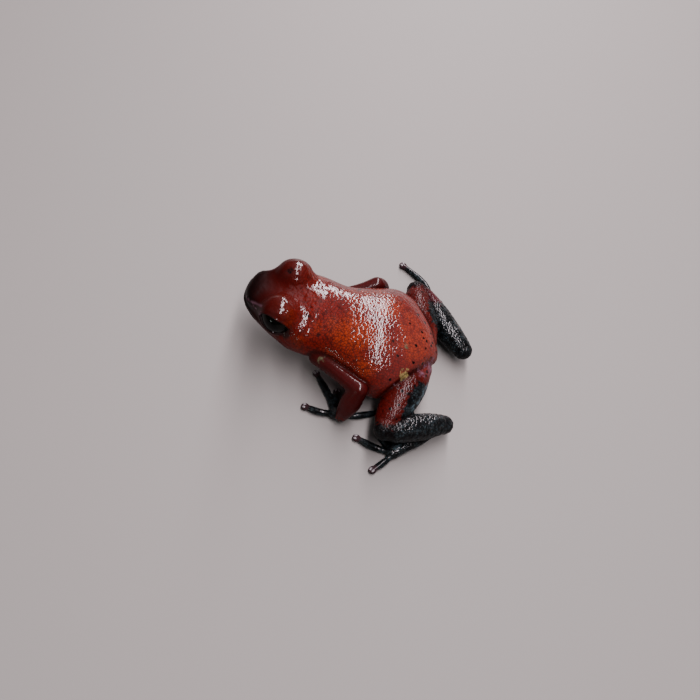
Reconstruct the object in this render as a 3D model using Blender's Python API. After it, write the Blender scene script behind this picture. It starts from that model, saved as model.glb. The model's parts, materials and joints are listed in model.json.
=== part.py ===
"""A strawberry poison dart frog, life size, sitting still on a flat floor.

The frog faces -Y, its left side is +X and +Z is up. All shapes are worked
out in millimetres and turned to metres at the end, when the whole frog is
moved so that the origin lies on the floor under the middle of its box.
Where two parts meet, a gap of 0.3 mm is left between their faces.
"""
import math
from typing import NamedTuple

import bmesh
import bpy
from mathutils import Matrix, Vector

# Driving dimensions, in millimetres
MILLIMETRE = 0.001
GAP = 0.3
NECK_Y = -4.4


class Station(NamedTuple):
    """One cross-section of the trunk, from the snout back to the vent."""

    y: float
    middle_x: float
    half_width: float
    widest_z: float
    rise: float
    drop: float
    squareness: float


SNOUT_TIP = Station(-10.72, -0.36, 0.45, 4.95, 0.36, 0.36, 2.0)
SNOUT = Station(-10.34, -0.42, 1.42, 4.90, 0.86, 0.86, 2.4)
NOSTRILS = Station(-9.65, -0.46, 2.12, 4.78, 1.24, 1.14, 2.7)
EYE_FRONT = Station(-8.45, -0.42, 2.90, 4.52, 1.62, 1.50, 2.7)
EYE_MIDDLE = Station(-7.00, -0.31, 3.44, 4.28, 1.96, 1.78, 2.5)
JAW = Station(-5.40, -0.22, 3.90, 4.08, 2.24, 2.05, 2.25)
NAPE = Station(-3.90, -0.10, 3.92, 4.05, 2.38, 2.20, 2.15)
SHOULDERS = Station(-2.20, 0.00, 3.86, 3.98, 2.60, 2.45, 2.1)
CHEST = Station(-0.20, 0.00, 4.60, 3.70, 3.08, 2.90, 2.0)
BELLY = Station(1.80, 0.00, 5.42, 3.50, 3.30, 3.12, 2.0)
LOIN = Station(3.40, 0.04, 5.22, 3.38, 3.12, 3.02, 2.0)
SACRUM = Station(4.75, 0.08, 4.32, 3.28, 2.74, 2.72, 2.0)
RUMP = Station(6.00, 0.08, 2.80, 3.28, 2.02, 1.95, 2.0)
VENT = Station(6.90, 0.0, 0.95, 3.40, 0.85, 0.80, 2.0)
TAIL_END = Station(7.12, 0.0, 0.35, 3.42, 0.35, 0.35, 2.0)
TRUNK = (
    SNOUT_TIP, SNOUT, NOSTRILS, EYE_FRONT, EYE_MIDDLE, JAW, NAPE, SHOULDERS,
    CHEST, BELLY, LOIN, SACRUM, RUMP, VENT, TAIL_END,
)
HEAD_FINENESS = 3
BODY_FINENESS = 2
TRUNK_SIDES = 40
TRUNK_CAP = 0.10

# Eyes, lids and the small forms of the head
EYE_RADIUS = 1.36
EYE_CENTRE_Y = -7.05
EYE_CENTRE_Z = 5.46
EYE_SPREAD = 2.06
HEAD_YAW = math.radians(-1.0)
LID_THICKNESS = 0.22
LID_RADIUS = EYE_RADIUS + GAP + LID_THICKNESS
LID_OPENING = Vector((1.00, 1.48, 0.80))
LID_SIDES = 22
EYE_LOOK_FORWARD = math.radians(10.0)
EYE_LOOK_UP = math.radians(14.0)
EYE_TILT = math.radians(15.0)
MOUTH_ANGLE = math.radians(-20.0)
MOUTH_CORNER = 4.85
MOUTH_FRONT = 0.5
MOUTH_TIP = 0.2
MOUTH_POINTS = 9
LIP_RADIUS = 0.24
LIP_END_RADIUS = 0.12
LIP_SIDES = 8
LIP_RINGS = 24
MOUTH_GROOVE_RADIUS = 0.10
MOUTH_GROOVE_SIDES = 6
GROOVE_ON_LIP = 0.85
NOSTRIL_RADIUS = 0.15
NOSTRIL_SIDES = 8
NOSTRIL_RING = 1.45
NOSTRIL_ANGLE = math.radians(28.0)
TYMPANUM_RADIUS = 0.62
TYMPANUM_SIDES = 14
TYMPANUM_GROOVE = 0.09
TYMPANUM_GROOVE_REACH = 0.14
TYMPANUM_GROOVE_SIDES = 5
TYMPANUM_RING = 4.75
TYMPANUM_ANGLE = math.radians(14.0)


class Arm(NamedTuple):
    """Joints of one arm, and where its fingers touch the floor."""

    shoulder: tuple
    elbow: tuple
    wrist: tuple
    palm: tuple
    fingers: tuple


class Leg(NamedTuple):
    """Joints of one leg, and where its toes touch the floor."""

    hip: tuple
    knee: tuple
    heel: tuple
    sole: tuple
    toes: tuple


DIGIT_Z = 0.24
FLOOR_BLOCK = 60.0
ARMS = {
    "left": Arm(
        shoulder=(3.35, -2.85, 3.65),
        elbow=(5.80, 1.50, 4.15),
        wrist=(7.00, 0.65, 1.00),
        palm=(6.70, 0.05, 0.45),
        fingers=(
            ((5.60, -0.35), (4.45, -0.42)),
            ((4.95, -1.15), (3.25, -2.75)),
            ((6.95, -1.35), (6.80, -2.70)),
            ((6.30, 1.70), (5.15, 3.60)),
        ),
    ),
    "right": Arm(
        shoulder=(-3.10, -2.85, 3.30),
        elbow=(-5.50, 0.05, 3.80),
        wrist=(-7.10, 0.55, 1.00),
        palm=(-6.85, 0.00, 0.45),
        fingers=(
            ((-5.80, -0.10), (-4.80, 0.15)),
            ((-5.50, -1.05), (-4.35, -2.10)),
            ((-6.75, -1.30), (-6.15, -2.60)),
            ((-7.25, 1.20), (-7.10, 2.45)),
        ),
    ),
}
LEGS = {
    "left": Leg(
        hip=(1.50, 5.60, 3.15),
        knee=(8.05, 4.55, 2.80),
        heel=(5.05, 9.40, 1.45),
        sole=(8.45, 6.05, 0.46),
        toes=(
            ((8.00, 5.60), (7.35, 5.75)),
            ((7.60, 5.40), (6.75, 5.10)),
            ((7.85, 4.85), (7.20, 4.20)),
            ((8.65, 4.10), (8.25, 2.45)),
            ((9.60, 5.45), (10.70, 4.60)),
        ),
    ),
    "right": Leg(
        hip=(-1.50, 5.30, 3.15),
        knee=(-7.00, 3.70, 2.68),
        heel=(-3.05, 9.35, 1.45),
        sole=(-7.35, 5.60, 0.46),
        toes=(
            ((-7.00, 5.05), (-6.50, 4.50)),
            ((-7.30, 4.65), (-7.10, 3.65)),
            ((-7.95, 4.35), (-8.40, 3.20)),
            ((-9.70, 4.35), (-11.30, 1.70)),
            ((-7.80, 5.85), (-8.00, 6.25)),
        ),
    ),
}

# Thickness of the limbs, as radii from the trunk outwards
UPPER_ARM_RADII = (0.95, 0.80, 0.74, 0.80)
FOREARM_RADII = (0.80, 0.92, 0.84, 0.56)
THIGH_RADII = (1.50, 1.72, 1.48, 1.05)
THIGH_FLATNESS = 0.90
SHANK_RADII = (1.05, 1.22, 1.16, 0.90)
TARSUS_RADII = (0.66, 0.60, 0.58, 0.52)
PALM_RADII = (0.54, 0.58, 0.60)
SOLE_RADII = (0.52, 0.56, 0.55)
END_FLATNESS = 0.9
SOLE_LENGTH = 0.9
SOLE_FALL = 0.05
SOLE_BEHIND = 0.3
SOLE_AHEAD = 0.4
KNUCKLE_RADIUS = 0.34
MIDDLE_RADIUS = 0.29
DIGIT_RADIUS = 0.28
DIGIT_ROOT_DROP = 0.08
DIGIT_ARCH = 0.14
DISC_HALF_LENGTH = 0.46
DISC_HALF_WIDTH = 0.43
DISC_HALF_HEIGHT = 0.27
DISC_TURN = 0.2
LIMB_SIDES = 16
THIGH_SIDES = 20
TARSUS_SIDES = 14
LIMB_RINGS = 9
CAP_RINGS = 3
DIGIT_SIDES = 8
DIGIT_RINGS = 4
DIGIT_CAP_RINGS = 2
DISC_SIDES = 10
END_SIDES = 12
END_RINGS = 4
EYE_SIDES = 24
SHARP_ANGLE = math.radians(40.0)

# Colours of the living skin, as linear red, green and blue
RED_SKIN = (0.42, 0.025, 0.008)
DARK_RED_SKIN = (0.16, 0.012, 0.008)
BLACK_SKIN = (0.012, 0.012, 0.014)
EYE_BLACK = (0.004, 0.004, 0.005)


def clear_scene() -> None:
    """Remove every object that the file opens with."""
    for obj in list(bpy.data.objects):
        bpy.data.objects.remove(obj, do_unlink=True)


def make_material(name: str, colour: tuple, roughness: float):
    """Return a plain Principled material with one colour."""
    material = bpy.data.materials.new(name)
    material.use_nodes = True
    shader = material.node_tree.nodes["Principled BSDF"]
    shader.inputs["Base Color"].default_value = (*colour, 1.0)
    shader.inputs["Roughness"].default_value = roughness
    shader.inputs["Metallic"].default_value = 0.0
    return material


def make_object(name: str, bm: bmesh.types.BMesh):
    """Turn a bmesh into a linked object with its faces pointing out."""
    bmesh.ops.recalc_face_normals(bm, faces=bm.faces[:])
    mesh = bpy.data.meshes.new(name)
    bm.to_mesh(mesh)
    bm.free()
    obj = bpy.data.objects.new(name, mesh)
    bpy.context.scene.collection.objects.link(obj)
    return obj


def skin_rings(rings: list, first_pole: Vector, last_pole: Vector):
    """Return a closed bmesh through rings of points, with a pole at each end."""
    bm = bmesh.new()
    loops = [[bm.verts.new(point) for point in ring] for ring in rings]
    count = len(loops[0])
    for lower, upper in zip(loops, loops[1:]):
        for i in range(count):
            j = (i + 1) % count
            bm.faces.new((lower[i], lower[j], upper[j], upper[i]))
    for loop, pole_place in ((loops[0], first_pole), (loops[-1], last_pole)):
        pole = bm.verts.new(pole_place)
        for i in range(count):
            bm.faces.new((loop[i], loop[(i + 1) % count], pole))
    return bm


def between(values: tuple, place: float):
    """Read a smooth curve through values, where place counts the values."""
    last = len(values) - 1
    i = min(int(place), last - 1)
    t = place - i
    a = values[max(i - 1, 0)]
    b = values[i]
    c = values[i + 1]
    d = values[min(i + 2, last)]
    return (
        b
        + (c - a) * (0.5 * t)
        + (a - b * 2.5 + c * 2.0 - d * 0.5) * (t * t)
        + ((b - c) * 1.5 + (d - a) * 0.5) * (t * t * t)
    )


def trunk_station(place: float) -> Station:
    """Return the section at a place that counts the named stations."""
    columns = zip(*TRUNK)
    return Station(*(between(column, place) for column in columns))


def signed_power(value: float, power: float) -> float:
    """Raise the size of a number to a power and keep its sign."""
    return math.copysign(abs(value) ** power, value)


def trunk_point(place: float, angle: float, swell: float = 0.0) -> Vector:
    """Return a point of the trunk's skin.

    The angle is 0 on the left, 90 degrees on the back and 180 on the right.
    """
    section = trunk_station(place)
    power = 2.0 / section.squareness
    height = section.rise if math.sin(angle) > 0.0 else section.drop
    across = (section.half_width + swell) * signed_power(math.cos(angle), power)
    up = (height + swell) * signed_power(math.sin(angle), power)
    return Vector((section.middle_x + across, section.y, section.widest_z + up))


def trunk_body(name: str, swell: float = 0.0, fineness: int = BODY_FINENESS):
    """Make the whole trunk from snout to vent, thicker by swell.

    The fineness is the number of rings for each named station.
    """
    steps = (len(TRUNK) - 1) * fineness
    rings = []
    for step in range(steps + 1):
        place = step / fineness
        turns = [math.tau * i / TRUNK_SIDES for i in range(TRUNK_SIDES)]
        rings.append([trunk_point(place, turn, swell) for turn in turns])
    tip = TRUNK[0]
    tail = TRUNK[-1]
    first = Vector((tip.middle_x, tip.y - TRUNK_CAP - swell, tip.widest_z))
    last = Vector((tail.middle_x, tail.y + TRUNK_CAP + swell, tail.widest_z))
    return make_object(name, skin_rings(rings, first, last))


def sweep_body(name: str, path: list, radii: tuple, sides: int, rings: int,
               flatness: float = 1.0, cap_rings: int = CAP_RINGS):
    """Make a round-ended limb along a smooth path.

    The radii are spread evenly along it, and flatness squashes it upright.
    """
    points = tuple(Vector(point) for point in path)
    centres = []
    sizes = []
    for step in range(rings + 1):
        part = step / rings
        centres.append(between(points, part * (len(points) - 1)))
        sizes.append(between(radii, part * (len(radii) - 1)))
    circles = []
    for i, centre in enumerate(centres):
        ahead = centres[min(i + 1, rings)] - centres[max(i - 1, 0)]
        along = ahead.normalized()
        sideways = along.cross(Vector((0.0, 0.0, 1.0))).normalized()
        upright = sideways.cross(along)
        circles.append((centre, sizes[i], along, sideways, upright))

    def ring(circle: tuple, lift: float) -> list:
        centre, size, along, sideways, upright = circle
        middle = centre + along * (size * math.sin(lift))
        reach = size * math.cos(lift)
        return [
            middle
            + sideways * (reach * math.cos(math.tau * i / sides))
            + upright * (reach * flatness * math.sin(math.tau * i / sides))
            for i in range(sides)
        ]

    lifts = [math.radians(90.0) * k / cap_rings for k in range(1, cap_rings)]
    outline = [ring(circles[0], -lift) for lift in reversed(lifts)]
    outline += [ring(circle, 0.0) for circle in circles]
    outline += [ring(circles[-1], lift) for lift in lifts]
    first = circles[0][0] - circles[0][2] * circles[0][1]
    last = circles[-1][0] + circles[-1][2] * circles[-1][1]
    return make_object(name, skin_rings(outline, first, last))


def ball(name: str, centre: Vector, half_sizes: Vector, turn: Matrix,
         sides: int = EYE_SIDES):
    """Make a ball or an ellipsoid."""
    bm = bmesh.new()
    bmesh.ops.create_uvsphere(bm, u_segments=sides, v_segments=sides // 2, radius=1.0)
    place = Matrix.Translation(centre) @ turn.to_4x4() @ Matrix.Diagonal((*half_sizes, 1.0))
    bmesh.ops.transform(bm, matrix=place, verts=bm.verts[:])
    return make_object(name, bm)


def apply_modifiers(obj) -> None:
    """Put the result of an object's modifiers into its mesh."""
    graph = bpy.context.evaluated_depsgraph_get()
    mesh = bpy.data.meshes.new_from_object(obj.evaluated_get(graph))
    obj.modifiers.clear()
    obj.data = mesh


def combine(obj, tool, operation: str) -> None:
    """Cut obj by the tool or join the tool to it, then remove the tool."""
    boolean = obj.modifiers.new("boolean", "BOOLEAN")
    boolean.operation = operation
    boolean.solver = "EXACT"
    boolean.object = tool
    apply_modifiers(obj)
    bpy.data.objects.remove(tool, do_unlink=True)


def fuse(obj, pieces: list) -> None:
    """Join many closed pieces to obj in one union and remove them."""
    group = bpy.data.collections.new("fuse")
    bpy.context.scene.collection.children.link(group)
    for piece in pieces:
        group.objects.link(piece)
    boolean = obj.modifiers.new("union", "BOOLEAN")
    boolean.operation = "UNION"
    boolean.solver = "EXACT"
    boolean.operand_type = "COLLECTION"
    boolean.collection = group
    apply_modifiers(obj)
    for piece in pieces:
        bpy.data.objects.remove(piece, do_unlink=True)
    bpy.data.collections.remove(group)


def keep_side(obj, point: Vector, normal: Vector) -> None:
    """Slice obj with a plane, keep what the normal points at and cap it."""
    bm = bmesh.new()
    bm.from_mesh(obj.data)
    bmesh.ops.bisect_plane(
        bm, geom=bm.verts[:] + bm.edges[:] + bm.faces[:], dist=1e-5,
        plane_co=point, plane_no=normal, clear_inner=True,
    )
    rim = [edge for edge in bm.edges if edge.is_boundary]
    bmesh.ops.holes_fill(bm, edges=rim, sides=0)
    bmesh.ops.recalc_face_normals(bm, faces=bm.faces[:])
    bm.to_mesh(obj.data)
    bm.free()


def cut_at_floor(obj) -> None:
    """Give obj a flat where it reaches the floor."""
    bm = bmesh.new()
    bmesh.ops.create_cube(bm, size=FLOOR_BLOCK)
    bmesh.ops.translate(bm, vec=(0.0, 0.0, -FLOOR_BLOCK / 2), verts=bm.verts[:])
    combine(obj, make_object("floor_block", bm), "DIFFERENCE")


def joint_normal(joint: tuple, first_far: tuple, second_far: tuple) -> Vector:
    """Return the normal of the plane that halves the angle at a joint.

    It points to the side of the first limb piece.
    """
    first_way = (Vector(first_far) - Vector(joint)).normalized()
    second_way = (Vector(second_far) - Vector(joint)).normalized()
    return (first_way - second_way).normalized()


def part_at_joint(first, second, joint: tuple, first_far: tuple,
                  second_far: tuple) -> None:
    """Part two limb pieces with a thin cut at their joint."""
    normal = joint_normal(joint, first_far, second_far)
    keep_side(first, Vector(joint) + normal * (GAP / 2), normal)
    keep_side(second, Vector(joint) - normal * (GAP / 2), -normal)


def clear_digits(end, path: list, radii: tuple, far: tuple, near: tuple) -> None:
    """Cut a hand or foot clear of the limb piece that it grows from."""
    swollen = tuple(radius + GAP for radius in radii)
    room = sweep_body("room", path, swollen, LIMB_SIDES, LIMB_RINGS)
    joint = path[-1]
    normal = joint_normal(joint, far, near)
    keep_side(room, Vector(joint) - normal * (GAP / 2), normal)
    combine(end, room, "DIFFERENCE")


def keep_largest(obj) -> None:
    """Keep only the closed surface with the most faces."""
    bm = bmesh.new()
    bm.from_mesh(obj.data)
    left = set(bm.verts)
    groups = []
    while left:
        seed = left.pop()
        group = {seed}
        edge_of_group = [seed]
        while edge_of_group:
            vert = edge_of_group.pop()
            for edge in vert.link_edges:
                other = edge.other_vert(vert)
                if other in left:
                    left.discard(other)
                    group.add(other)
                    edge_of_group.append(other)
        groups.append(group)
    groups.sort(key=len)
    for group in groups[:-1]:
        bmesh.ops.delete(bm, geom=list(group), context="VERTS")
    bm.to_mesh(obj.data)
    bm.free()


def make_triangles(obj) -> None:
    """Split every face of a mesh into triangles."""
    bm = bmesh.new()
    bm.from_mesh(obj.data)
    bmesh.ops.triangulate(bm, faces=bm.faces[:])
    bm.to_mesh(obj.data)
    bm.free()


def side_sign(side: str) -> float:
    """Return 1 on the left and -1 on the right."""
    return 1.0 if side == "left" else -1.0


def eye_centre(side: str) -> Vector:
    """Return the middle of an eyeball."""
    spread = side_sign(side) * EYE_SPREAD
    return Vector((
        EYE_MIDDLE.middle_x + spread * math.cos(HEAD_YAW),
        EYE_CENTRE_Y + spread * math.sin(HEAD_YAW),
        EYE_CENTRE_Z,
    ))


def eye_turn(side: str) -> Matrix:
    """Return the turn from level to the way that the eye looks out along X.

    The lids open along a line that rises towards the snout.
    """
    sign = side_sign(side)
    around = Matrix.Rotation(-sign * EYE_LOOK_FORWARD + HEAD_YAW, 3, "Z")
    upward = Matrix.Rotation(-sign * EYE_LOOK_UP, 3, "Y")
    return around @ upward @ Matrix.Rotation(-EYE_TILT, 3, "X")


def make_eye(side: str):
    """Make one eyeball."""
    turn = eye_turn(side) @ Matrix.Rotation(math.radians(90.0), 3, "Y")
    return ball(f"eye_{side}", eye_centre(side), Vector((1, 1, 1)) * EYE_RADIUS, turn)


def mouth_path() -> list:
    """Return points along the closed mouth, from the left corner to the right."""
    left = []
    right = []
    for i in range(MOUTH_POINTS):
        place = MOUTH_CORNER + (MOUTH_FRONT - MOUTH_CORNER) * i / (MOUTH_POINTS - 1)
        left.append(trunk_point(place, MOUTH_ANGLE))
        right.append(trunk_point(place, math.pi - MOUTH_ANGLE))
    under_tip = trunk_point(MOUTH_TIP, math.radians(-90.0))
    return left + [under_tip] + right[::-1]


def make_head(trunk):
    """Make the head with its lids, sockets, mouth, nostrils and eardrums."""
    keep_side(trunk, Vector((0.0, NECK_Y - GAP / 2, 0.0)), Vector((0.0, -1.0, 0.0)))
    trunk.name = "head"
    mouth = mouth_path()
    lip_radii = (LIP_END_RADIUS, LIP_RADIUS, LIP_RADIUS, LIP_RADIUS, LIP_END_RADIUS)
    pieces = [sweep_body("lips", mouth, lip_radii, LIP_SIDES, LIP_RINGS)]
    for side in ("left", "right"):
        lid_size = Vector((1, 1, 1)) * LID_RADIUS
        pieces.append(ball(f"lid_{side}", eye_centre(side), lid_size, eye_turn(side), LID_SIDES))
    fuse(trunk, pieces)
    for side in ("left", "right"):
        sign = side_sign(side)
        centre = eye_centre(side)
        turn = eye_turn(side)
        socket_size = Vector((1, 1, 1)) * (EYE_RADIUS + GAP)
        combine(trunk, ball("socket", centre, socket_size, turn, LID_SIDES), "DIFFERENCE")
        out = turn @ Vector((sign, 0.0, 0.0))
        opening = ball("opening", centre + out * LID_RADIUS, LID_OPENING, turn, LID_SIDES)
        combine(trunk, opening, "DIFFERENCE")
        nostril_angle = NOSTRIL_ANGLE if sign > 0 else math.pi - NOSTRIL_ANGLE
        nostril = trunk_point(NOSTRIL_RING, nostril_angle)
        pit = ball("nostril", nostril, Vector((1, 1, 1)) * NOSTRIL_RADIUS, turn, NOSTRIL_SIDES)
        combine(trunk, pit, "DIFFERENCE")
        combine(trunk, eardrum_groove(sign), "DIFFERENCE")
    radii = (MOUTH_GROOVE_RADIUS, MOUTH_GROOVE_RADIUS)
    groove = sweep_body("groove", mouth_groove_path(), radii, MOUTH_GROOVE_SIDES, LIP_RINGS)
    combine(trunk, groove, "DIFFERENCE")
    return trunk


def mouth_groove_path() -> list:
    """Return the mouth line pushed out to the crest of the lips."""
    points = [Vector(point) for point in mouth_path()]
    middle = Vector((SNOUT.middle_x, EYE_FRONT.y, SNOUT.widest_z))
    pushed = []
    for point in points:
        away = point - middle
        away.z = 0.0
        pushed.append(point + away.normalized() * (LIP_RADIUS * GROOVE_ON_LIP))
    return pushed


def eardrum_groove(sign: float):
    """Make the ring that is pressed in round one eardrum."""
    angle = TYMPANUM_ANGLE if sign > 0 else math.pi - TYMPANUM_ANGLE
    centre = trunk_point(TYMPANUM_RING, angle)
    step = 0.1
    fore = (trunk_point(TYMPANUM_RING - step, angle) - centre).normalized()
    above = (trunk_point(TYMPANUM_RING, angle + sign * step) - centre).normalized()
    out = fore.cross(above).normalized()
    if out.x * sign < 0.0:
        out = -out
    up = out.cross(fore)
    bm = bmesh.new()
    loops = []
    for i in range(TYMPANUM_SIDES):
        turn = math.tau * i / TYMPANUM_SIDES
        away = fore * math.cos(turn) + up * math.sin(turn)
        middle = centre + away * TYMPANUM_RADIUS
        loop = []
        for k in range(TYMPANUM_GROOVE_SIDES):
            round_turn = math.tau * k / TYMPANUM_GROOVE_SIDES
            aside = away * (TYMPANUM_GROOVE * math.cos(round_turn))
            outward = out * (TYMPANUM_GROOVE_REACH * math.sin(round_turn))
            loop.append(bm.verts.new(middle + aside + outward))
        loops.append(loop)
    for i in range(TYMPANUM_SIDES):
        loop = loops[i]
        following = loops[(i + 1) % TYMPANUM_SIDES]
        for k in range(TYMPANUM_GROOVE_SIDES):
            j = (k + 1) % TYMPANUM_GROOVE_SIDES
            bm.faces.new((loop[k], following[k], following[j], loop[j]))
    return make_object("eardrum", bm)


def digit_pieces(name: str, root: tuple, stops: tuple) -> list:
    """Make one finger or toe with the round disc at its tip."""
    bend, tip = stops
    start = Vector((root[0], root[1], root[2] - DIGIT_ROOT_DROP))
    middle = Vector((*bend, DIGIT_Z + DIGIT_ARCH))
    end = Vector((*tip, DIGIT_Z))
    bone = sweep_body(
        name, [start, middle, end], (KNUCKLE_RADIUS, MIDDLE_RADIUS, DIGIT_RADIUS),
        DIGIT_SIDES, DIGIT_RINGS, cap_rings=DIGIT_CAP_RINGS,
    )
    heading = math.atan2(end.y - middle.y, end.x - middle.x)
    size = Vector((DISC_HALF_LENGTH, DISC_HALF_WIDTH, DISC_HALF_HEIGHT))
    turn = Matrix.Rotation(heading + DISC_TURN, 3, "Z")
    return [bone, ball(f"{name}_disc", end, size, turn, DISC_SIDES)]


def add_digits(body, root: tuple, digits: tuple) -> None:
    """Join all fingers or toes to a palm or sole and cut their flats."""
    pieces = []
    for number, stops in enumerate(digits, 1):
        pieces += digit_pieces(f"{body.name}_{number}", root, stops)
    fuse(body, pieces)
    cut_at_floor(body)


def make_arm(side: str) -> list:
    """Make one upper arm, forearm and hand."""
    arm = ARMS[side]
    middle = (Vector(arm.shoulder) + Vector(arm.elbow)) / 2
    upper = sweep_body(
        f"upper_arm_{side}", [arm.shoulder, middle, arm.elbow], UPPER_ARM_RADII,
        LIMB_SIDES, LIMB_RINGS,
    )
    lower_middle = (Vector(arm.elbow) + Vector(arm.wrist)) / 2
    lower = sweep_body(
        f"forearm_{side}", [arm.elbow, lower_middle, arm.wrist], FOREARM_RADII,
        LIMB_SIDES, LIMB_RINGS,
    )
    toward_palm = (Vector(arm.palm) - Vector(arm.wrist)) * 0.5
    hand = sweep_body(
        f"hand_{side}", [arm.wrist, Vector(arm.wrist) + toward_palm, arm.palm],
        PALM_RADII, END_SIDES, END_RINGS, flatness=END_FLATNESS,
    )
    part_at_joint(upper, lower, arm.elbow, arm.shoulder, arm.wrist)
    part_at_joint(lower, hand, arm.wrist, arm.elbow, arm.palm)
    add_digits(hand, arm.palm, arm.fingers)
    clear_digits(hand, [arm.elbow, lower_middle, arm.wrist], FOREARM_RADII, arm.elbow, arm.palm)
    for piece in (upper, lower):
        combine(piece, trunk_body("clearance", GAP), "DIFFERENCE")
    return [upper, lower, hand]


def make_leg(side: str) -> list:
    """Make one thigh, shank, tarsus and foot."""
    leg = LEGS[side]
    hip = Vector(leg.hip)
    knee = Vector(leg.knee)
    heel = Vector(leg.heel)
    sole = Vector(leg.sole)
    thigh = sweep_body(
        f"thigh_{side}", [hip, (hip + knee) / 2, knee], THIGH_RADII,
        THIGH_SIDES, LIMB_RINGS, flatness=THIGH_FLATNESS,
    )
    shank = sweep_body(
        f"shank_{side}", [knee, (knee + heel) / 2, heel], SHANK_RADII,
        LIMB_SIDES, LIMB_RINGS,
    )
    tarsus = sweep_body(
        f"tarsus_{side}", [heel, (heel + sole) / 2, sole], TARSUS_RADII,
        TARSUS_SIDES, LIMB_RINGS,
    )
    toward_toes = (sole - heel).normalized() * SOLE_LENGTH
    toward_toes.z = -SOLE_FALL
    behind = sole - toward_toes * SOLE_BEHIND
    foot = sweep_body(
        f"foot_{side}", [behind, sole, sole + toward_toes * SOLE_AHEAD],
        SOLE_RADII, END_SIDES, END_RINGS, flatness=END_FLATNESS,
    )
    part_at_joint(thigh, shank, knee, hip, heel)
    part_at_joint(shank, tarsus, heel, knee, sole)
    part_at_joint(tarsus, foot, sole, heel, sole + toward_toes)
    cut_at_floor(tarsus)
    add_digits(foot, sole + toward_toes * SOLE_BEHIND, leg.toes)
    clear_digits(foot, [heel, (heel + sole) / 2, sole], TARSUS_RADII, heel, sole + toward_toes)
    combine(thigh, trunk_body("clearance", GAP), "DIFFERENCE")
    return [thigh, shank, tarsus, foot]


def finish(nodes: list) -> None:
    """Shade each node, and put the frog in metres on the origin."""
    for node in nodes:
        keep_largest(node)
        make_triangles(node)
    corners = [vert.co for node in nodes for vert in node.data.vertices]
    lowest = [min(corner[axis] for corner in corners) for axis in range(3)]
    highest = [max(corner[axis] for corner in corners) for axis in range(3)]
    shift = Vector((-(lowest[0] + highest[0]) / 2, -(lowest[1] + highest[1]) / 2, -lowest[2]))
    place = Matrix.Scale(MILLIMETRE, 4) @ Matrix.Translation(shift)
    for node in nodes:
        node.data.transform(place)
        node.data.shade_smooth()
        node.data.set_sharp_from_angle(angle=SHARP_ANGLE)


def main() -> None:
    """Build the frog."""
    clear_scene()
    head = make_head(trunk_body("head_trunk", fineness=HEAD_FINENESS))
    torso = trunk_body("torso")
    keep_side(torso, Vector((0.0, NECK_Y + GAP / 2, 0.0)), Vector((0.0, 1.0, 0.0)))
    nodes = [head, torso, make_eye("left"), make_eye("right")]
    for side in ("left", "right"):
        nodes += make_arm(side)
        nodes += make_leg(side)
    looks = {
        "head": make_material("dark_red_skin", DARK_RED_SKIN, 0.25),
        "torso": make_material("red_skin", RED_SKIN, 0.25),
        "upper": make_material("arm_skin", DARK_RED_SKIN, 0.3),
        "thigh": make_material("thigh_skin", RED_SKIN, 0.3),
        "eye": make_material("eye", EYE_BLACK, 0.05),
        "black": make_material("black_skin", BLACK_SKIN, 0.3),
    }
    for node in nodes:
        first_word = node.name.split("_")[0]
        node.data.materials.clear()
        node.data.materials.append(looks.get(first_word, looks["black"]))
    finish(nodes)


main()
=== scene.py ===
"""A strawberry poison dart frog, as a still life-size model: its skin, eyes and looks.

The wet, granular skin is one closed piece over the whole body. It is grown
from the same named sizes as the solids, in millimetres with the snout
towards -Y, then its face and limbs are shaped point by point, its granules
are raised by Geometry Nodes, and it is moved into the frame in metres.
"""
import json
import logging
import math
from dataclasses import dataclass, field
from enum import Enum
from typing import Sequence

import bmesh
import bpy
import numpy as np
from mathutils import Matrix, Vector, noise

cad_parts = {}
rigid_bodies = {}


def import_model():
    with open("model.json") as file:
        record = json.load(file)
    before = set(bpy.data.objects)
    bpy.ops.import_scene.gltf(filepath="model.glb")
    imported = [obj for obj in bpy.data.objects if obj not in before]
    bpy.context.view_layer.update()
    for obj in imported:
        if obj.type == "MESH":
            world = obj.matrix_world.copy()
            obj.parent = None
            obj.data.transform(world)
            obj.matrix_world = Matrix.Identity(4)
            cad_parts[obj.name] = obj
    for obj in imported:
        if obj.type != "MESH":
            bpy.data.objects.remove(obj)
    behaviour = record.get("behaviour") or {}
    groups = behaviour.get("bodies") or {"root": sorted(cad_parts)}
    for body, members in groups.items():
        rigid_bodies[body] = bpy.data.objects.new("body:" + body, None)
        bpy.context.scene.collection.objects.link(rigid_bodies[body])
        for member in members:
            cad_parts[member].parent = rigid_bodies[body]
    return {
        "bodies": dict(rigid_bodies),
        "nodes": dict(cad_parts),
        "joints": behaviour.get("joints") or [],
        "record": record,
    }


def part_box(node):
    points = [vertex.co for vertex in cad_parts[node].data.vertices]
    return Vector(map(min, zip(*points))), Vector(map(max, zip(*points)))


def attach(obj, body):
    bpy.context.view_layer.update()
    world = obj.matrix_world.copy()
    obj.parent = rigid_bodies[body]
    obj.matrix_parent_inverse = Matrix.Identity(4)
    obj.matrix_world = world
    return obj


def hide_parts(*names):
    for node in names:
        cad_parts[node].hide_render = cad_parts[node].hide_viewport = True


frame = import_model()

LOG = logging.getLogger("frog")
MILLIMETRE = 0.001
BODY = "root"


class Side(Enum):
    """A side of the frog, with the sign of its X."""

    LEFT = 1.0
    RIGHT = -1.0

    @property
    def word(self) -> str:
        """Return the side as it stands in a node's name."""
        return self.name.lower()


@dataclass(frozen=True)
class Station:
    """One cross-section of the trunk, in millimetres."""

    y: float
    middle_x: float
    half_width: float
    widest_z: float
    rise: float
    drop: float
    squareness: float

    def values(self) -> tuple:
        """Return the sizes in order."""
        return (
            self.y, self.middle_x, self.half_width, self.widest_z,
            self.rise, self.drop, self.squareness,
        )


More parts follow.
